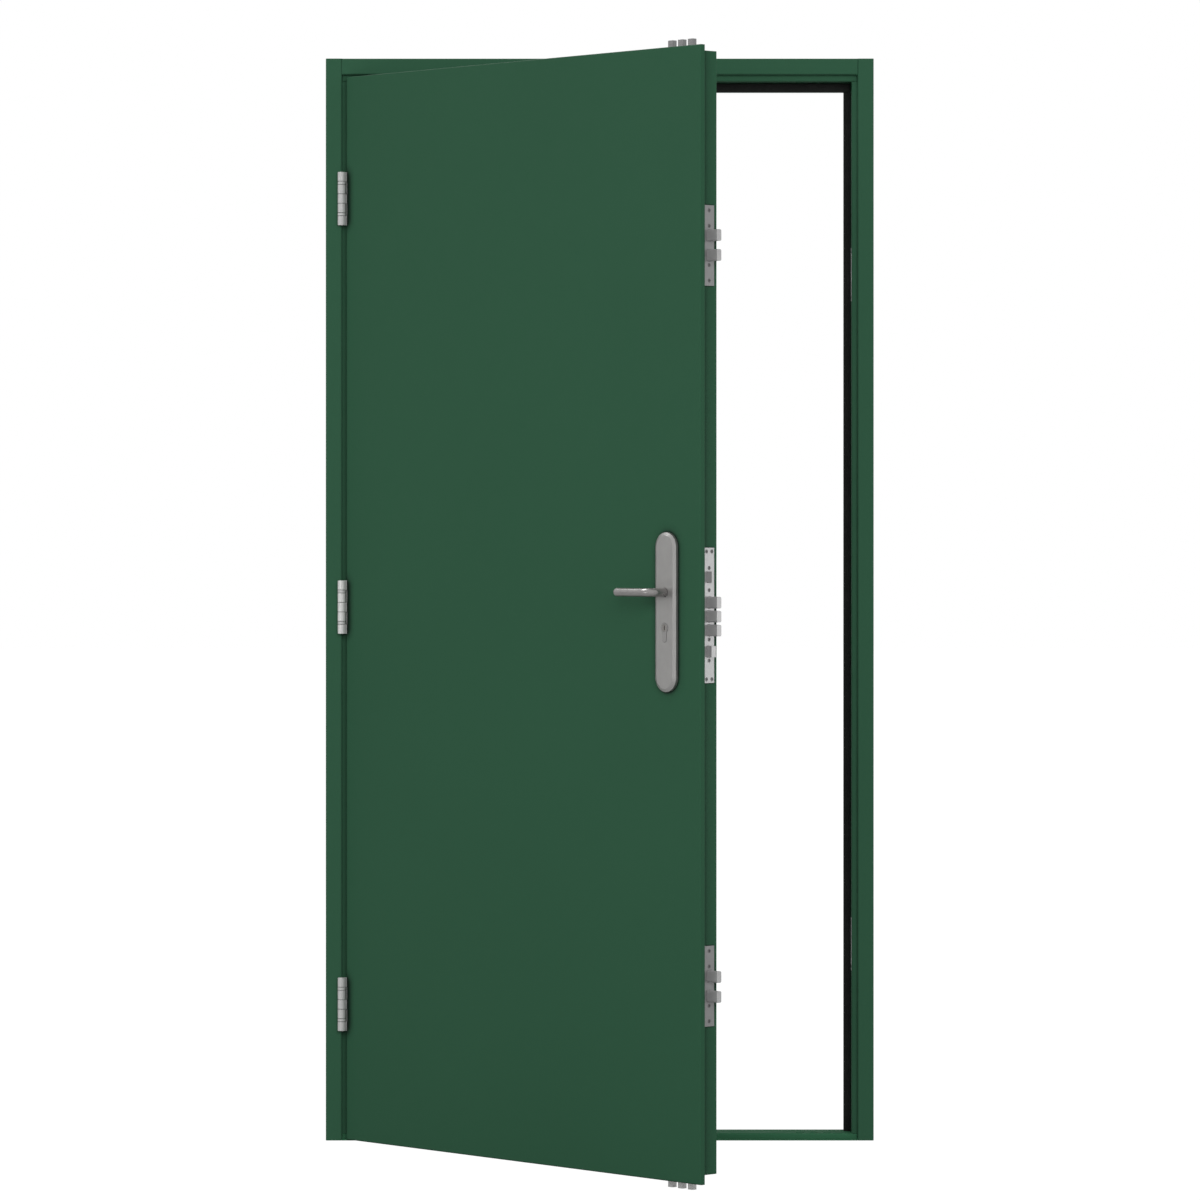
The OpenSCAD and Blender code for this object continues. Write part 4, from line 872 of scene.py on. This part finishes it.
@dataclass
class SealRun:
    """One straight rubber seal with rounded corners and fine ribs along it."""

    node: str
    run: Run
    corner: float = 1.9 * MM
    arc_steps: int = 5
    rib_pitch: float = 1.6 * MM
    rib_depth: float = 0.3 * MM

    def side(self, start: Vector, end: Vector) -> list[Vector]:
        """Lays ribs along one flat side of the section.

        Args:
            start: Start of the flat.
            end: End of the flat.

        Returns:
            Points between the two ends, with a shallow groove between ribs.
        """
        along = end - start
        count = max(1, int(along.length / self.rib_pitch))
        inward = Vector((-along.y, along.x)).normalized() * self.rib_depth
        lip = along.normalized() * self.rib_depth
        points = []
        for groove in range(1, count):
            middle = start + along * (groove / count)
            points += [middle - lip, middle + inward, middle + lip]
        return points

    def section(self, width: float, height: float) -> list[Vector]:
        """Draws the outline of the seal, anticlockwise from its lower left.

        Args:
            width: Width of the section.
            height: Height of the section.

        Returns:
            Points of the outline.
        """
        r = self.corner
        right, top = width - r, height - r
        hubs = [Vector(hub) for hub in ((r, r), (right, r), (right, top), (r, top))]
        outline: list[Vector] = []
        for index, hub in enumerate(hubs):
            out = Vector()
            for step in range(self.arc_steps + 1):
                angle = math.pi * (1.0 + (index + step / self.arc_steps) / 2.0)
                out = Vector((math.cos(angle), math.sin(angle))) * r
                outline.append(hub + out)
            outline += self.side(hub + out, hubs[(index + 1) % len(hubs)] + out)
        return outline

    def build(self) -> bpy.types.Object:
        """Sweeps the section along the solid that it stands for.

        Returns:
            The new piece.
        """
        low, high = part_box(self.node)
        along, wide, tall = self.run.value
        section = self.section(high[wide] - low[wide], high[tall] - low[tall])
        rings = []
        for level in (low[along], high[along]):
            ring = []
            for point in section:
                corner = Vector(low)
                corner[along] = level
                corner[wide] += point.x
                corner[tall] += point.y
                ring.append(corner)
            rings.append(ring)
        skin = Skin()
        skin.tube(rings)
        return skin.piece(f"{self.node}_rubber", Body.FRAME, Slot.SEAL_RUBBER, self.node)


@dataclass
class SealSet(SubAssembly):
    """Rubber seals on the stops of the jambs and the head."""

    made: list[bpy.types.Object] = field(default_factory=list)

    def build(self) -> None:
        """Makes the three seals."""
        runs = (
            SealRun("hinge_jamb_seal", Run.UPRIGHT),
            SealRun("lock_jamb_seal", Run.UPRIGHT),
            SealRun("head_seal", Run.ACROSS),
        )
        self.made = [run.build() for run in runs]

    def dress(self) -> None:
        """Gives the seals their rubber skin."""
        for piece in self.made:
            paint(piece, RUBBER)
            LOG.info("SealSet: %s in %s", piece.name, RUBBER.name)


@dataclass
class FoldedFrame(SubAssembly):
    """Jambs, head and threshold, with the keeps and the plates behind them."""

    sheets: tuple[str, ...] = ("hinge_jamb", "lock_jamb", "frame_head")
    sill: str = "threshold"
    keeps: tuple[str, ...] = ("upper_keep", "lower_keep")
    hidden: tuple[str, ...] = (
        "upper_keep_box", "centre_keep_box", "lower_keep_box", "hinge_backing_plates")

    def dress(self) -> None:
        """Coats the folded sheet and leaves the keeps in bare steel."""
        self.coat(FRAME_COAT, *self.sheets)
        self.coat(SILL_COAT_PAINTED_LIGHT, self.sill)
        self.coat(KEEP, *self.keeps)
        self.coat(ZINC, *self.hidden)


@dataclass
class HingeSet(SubAssembly):
    """Three bearing hinges with their wings, pins and rings."""

    levels: tuple[str, ...] = ("upper", "middle", "lower")
    wings: tuple[str, ...] = ("frame", "leaf")
    shared: tuple[str, ...] = ("hinge_pins", "hinge_bearings")
    finishes: tuple[Finish, ...] = (HINGE, HINGE_PAINTED_LIGHT, HINGE)

    def dress(self) -> None:
        """Polishes the hinges; the middle one is painted lighter than the others, as a painted
        highlight.
        """
        for level, finish in zip(self.levels, self.finishes):
            self.coat(finish, *(f"{level}_hinge_{wing}_wing" for wing in self.wings))
        self.coat(HINGE, *self.shared)


@dataclass
class LeafPan(SubAssembly):
    """Two coated skins over stiffeners and a core."""

    stiffeners: tuple[str, ...] = ("hinge_stile", "lock_stile", "top_channel", "bottom_channel")
    core: str = "leaf_core"

    def dress(self) -> None:
        """Coats the skins and leaves the inside bare."""
        self.coat(LEAF_COAT, "outer_skin")
        self.coat(TRAY_COAT, "inner_skin")
        self.coat(ZINC, *self.stiffeners)
        self.coat(WOOL, self.core)


@dataclass
class LockEdge(SubAssembly):
    """Locks along the edge of the leaf, with every bolt that they throw."""

    levels: tuple[str, ...] = ("upper", "centre", "lower")
    guides: tuple[str, ...] = ("top_bolt_guide", "bottom_bolt_guide")
    other_bolts: tuple[str, ...] = ("latch_bolt", "night_bolt", "lock_follower")

    def dress(self) -> None:
        """Gives plates, cases and bolts their metals; the side faceplates and top bolts are painted
        darker as painted shade, the bottom bolts lighter as painted light.
        """
        self.coat(PLATE, "centre_faceplate")
        self.coat(SIDE_PLATE_PAINTED_DARK, "upper_faceplate", "lower_faceplate")
        self.coat(ZINC, *(f"{level}_lock_case" for level in self.levels), *self.guides)
        self.coat(BOLT, *(f"{level}_bolts" for level in self.levels), *self.other_bolts)
        self.coat(TOP_SHOOT_PAINTED_DARK, "top_bolts")
        self.coat(LOW_SHOOT_PAINTED_LIGHT, "bottom_bolts")


@dataclass
class HandleSet(SubAssembly):
    """Backplates, levers, thumbturn and key cylinder."""

    plates: tuple[str, ...] = ("outer_backplate", "inner_backplate", "thumbturn")
    levers: tuple[str, ...] = ("outer_lever", "inner_lever", "lever_spindle")
    plugs: tuple[str, ...] = ("key_plugs", "cylinder_cam")

    def dress(self) -> None:
        """Gives the handles satin steel and the cylinder nickel."""
        self.coat(SATIN, *self.plates)
        self.coat(LEVER, *self.levers)
        self.coat(CYLINDER, "cylinder_body")
        self.coat(PLUG, *self.plugs)


@dataclass(frozen=True)
class Softbox:
    """One rectangular studio lamp."""

    name: str
    place: Place
    aim: Place
    width: float
    height: float
    power: float
    reach: LampReach

    def hang(self) -> None:
        """Hangs the lamp and turns it to what it lights."""
        lamp = bpy.data.lights.new(self.name, "AREA")
        lamp.shape = "RECTANGLE"
        lamp.size, lamp.size_y, lamp.energy = self.width, self.height, self.power
        holder = bpy.data.objects.new(self.name, lamp)
        holder.location = self.place
        way = Vector(self.aim) - Vector(self.place)
        holder.rotation_euler = way.to_track_quat("-Z", "Y").to_euler()
        holder.visible_camera = False
        holder.visible_diffuse = self.reach is not LampReach.REFLECTIONS
        holder.visible_glossy = self.reach is not LampReach.MATT
        bpy.context.scene.collection.objects.link(holder)
        LOG.info("Studio: %s hung", self.name)


@dataclass
class Studio:
    """White studio with a pale floor, soft lamps and the photograph's camera."""

    floor_half: float = 40.0
    floor_gap: float = 0.5 * MM
    floor_colour: Colour = (0.55, 0.55, 0.55)
    floor_glow: float = 0.86
    floor_white: float = 1.16
    sky_level: float = 0.45
    sky_mirror: float = 0.6
    floor_mirror: float = 0.1
    image_side: float = 1200.0
    sensor: float = 36.0
    focal_pixels: float = 5455.5
    horizon_row: float = 522.85
    centre_column: float = 599.745
    camera_distance: float = 10.15465
    camera_height: float = 1.14971
    far_end: float = 200.0
    lamps: tuple[Softbox, ...] = (
        Softbox(
            "front_box", (0.5, -7.0, 2.9), (0.0, 0.0, 1.1), 4.2, 3.0, 306.0, LampReach.MATT),
        Softbox(
            "left_box", (-5.5, -1.2, 2.4), (0.0, -0.3, 1.1), 2.2, 3.0, 88.0, LampReach.MATT),
        Softbox(
            "right_box", (5.0, -3.4, 2.0), (0.1, -0.4, 1.0), 2.0, 3.0, 14.0, LampReach.MATT),
        Softbox(
            "back_box", (-2.4, 6.0, 2.6), (0.1, 0.0, 1.1), 3.6, 3.0, 120.0, LampReach.MATT),
        Softbox(
            "lock_edge_box", (2.6, -0.92, 0.95), (0.19, -0.72, 0.98), 0.8, 0.62, 3.4,
            LampReach.REFLECTIONS),
        Softbox(
            "hinge_box", (-2.8, -3.2, 1.0), (-0.48, -0.05, 1.0), 1.2, 0.6, 8.0,
            LampReach.REFLECTIONS),
        Softbox(
            "lever_box", (-1.5, 0.3, 4.1), (0.1, -0.7, 1.03), 2.2, 1.4, 60.0,
            LampReach.REFLECTIONS),
    )

    def white_share(self, sheet: NodeSheet, mirror: float) -> Socket:
        """Share of plain white that a ray sees: all of it to the eye, some of it in reflections.

        Args:
            sheet: Sheet of the tree.
            mirror: Share of white in reflections.

        Returns:
            The socket with the share.
        """
        path = sheet.place("ShaderNodeLightPath").outputs
        seen = sheet.math("MAXIMUM", path["Is Camera Ray"], path["Is Transmission Ray"])
        return sheet.math("MAXIMUM", seen, sheet.math("MULTIPLY", path["Is Glossy Ray"], mirror))

    def mix(self, sheet: NodeSheet, share: Socket, plain: bpy.types.Node, white: bpy.types.Node,
            out: bpy.types.Node) -> None:
        """Mixes a plain shader with the white one.

        Args:
            sheet: Sheet of the tree.
            share: Socket with the share of white.
            plain: Shader that lights and is lit.
            white: Shader that the eye sees.
            out: Output node of the tree.
        """
        mixed = sheet.place("ShaderNodeMixShader")
        for source, target in zip((share, plain.outputs[0], white.outputs[0]), mixed.inputs):
            sheet.feed(source, target)
        sheet.feed(mixed.outputs[0], out.inputs["Surface"])

    def sky(self) -> None:
        """Sets a world that is white to the eye and softer as light."""
        world = bpy.data.worlds.new("studio_sky")
        bpy.context.scene.world = world
        world.use_nodes = True
        world.node_tree.nodes.clear()
        sheet = NodeSheet(world.node_tree)
        light = sheet.place("ShaderNodeBackground", {"Color": WHITE, "Strength": self.sky_level})
        white = sheet.place("ShaderNodeBackground", {"Color": WHITE, "Strength": 1.0})
        share = self.white_share(sheet, self.sky_mirror)
        self.mix(sheet, share, light, white, sheet.place("ShaderNodeOutputWorld"))

    def floor(self) -> None:
        """Lays the pale floor under the lowest bolt."""
        level, half = CAD_BOX[0].z - self.floor_gap, self.floor_half
        mesh = bpy.data.meshes.new("studio_floor")
        sides = ((-half, -half), (half, -half), (half, half), (-half, half))
        mesh.from_pydata([(x, y, level) for x, y in sides], [], [(0, 1, 2, 3)])
        plane = bpy.data.objects.new("studio_floor", mesh)
        bpy.context.scene.collection.objects.link(plane)
        material = bpy.data.materials.new("floor_paper")
        material.use_nodes = True
        material.node_tree.nodes.clear()
        sheet = NodeSheet(material.node_tree)
        paper = sheet.place("ShaderNodeBsdfDiffuse", {"Color": opaque(self.floor_colour)})
        white = sheet.place("ShaderNodeEmission", {"Color": WHITE, "Strength": self.floor_white})
        share = sheet.math("MULTIPLY", self.white_share(sheet, self.floor_mirror), self.floor_glow)
        self.mix(sheet, share, paper, white, sheet.place("ShaderNodeOutputMaterial"))
        mesh.materials.append(material)

    def camera(self) -> None:
        """Sets the camera where the photograph was taken from, level and square to the frame."""
        lens = bpy.data.cameras.new("photo_camera")
        lens.sensor_width = self.sensor
        lens.lens = self.focal_pixels / self.image_side * self.sensor
        lens.shift_x = (self.image_side / 2.0 - self.centre_column) / self.image_side
        lens.shift_y = (self.horizon_row - self.image_side / 2.0) / self.image_side
        lens.clip_end = self.far_end
        eye = bpy.data.objects.new("photo_camera", lens)
        eye.location = (0.0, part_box("lock_jamb")[0].y - self.camera_distance, self.camera_height)
        eye.rotation_euler = (math.pi / 2.0, 0.0, 0.0)
        bpy.context.scene.collection.objects.link(eye)
        bpy.context.scene.camera = eye

    def set_up(self) -> None:
        """Builds the whole studio."""
        bpy.context.scene.view_settings.view_transform = "Standard"
        self.sky()
        self.floor()
        for lamp in self.lamps:
            lamp.hang()
        self.camera()


def main() -> None:
    """Builds and dresses the doorset and sets up the studio."""
    logging.basicConfig(level=logging.INFO, format="%(name)s: %(message)s")
    for kind in (FoldedFrame, SealSet, HingeSet, LeafPan, LockEdge, HandleSet, ScrewWork):
        assembly = kind()
        assembly.build()
        assembly.dress()
    Studio().set_up()


if __name__ == "__main__":
    main()
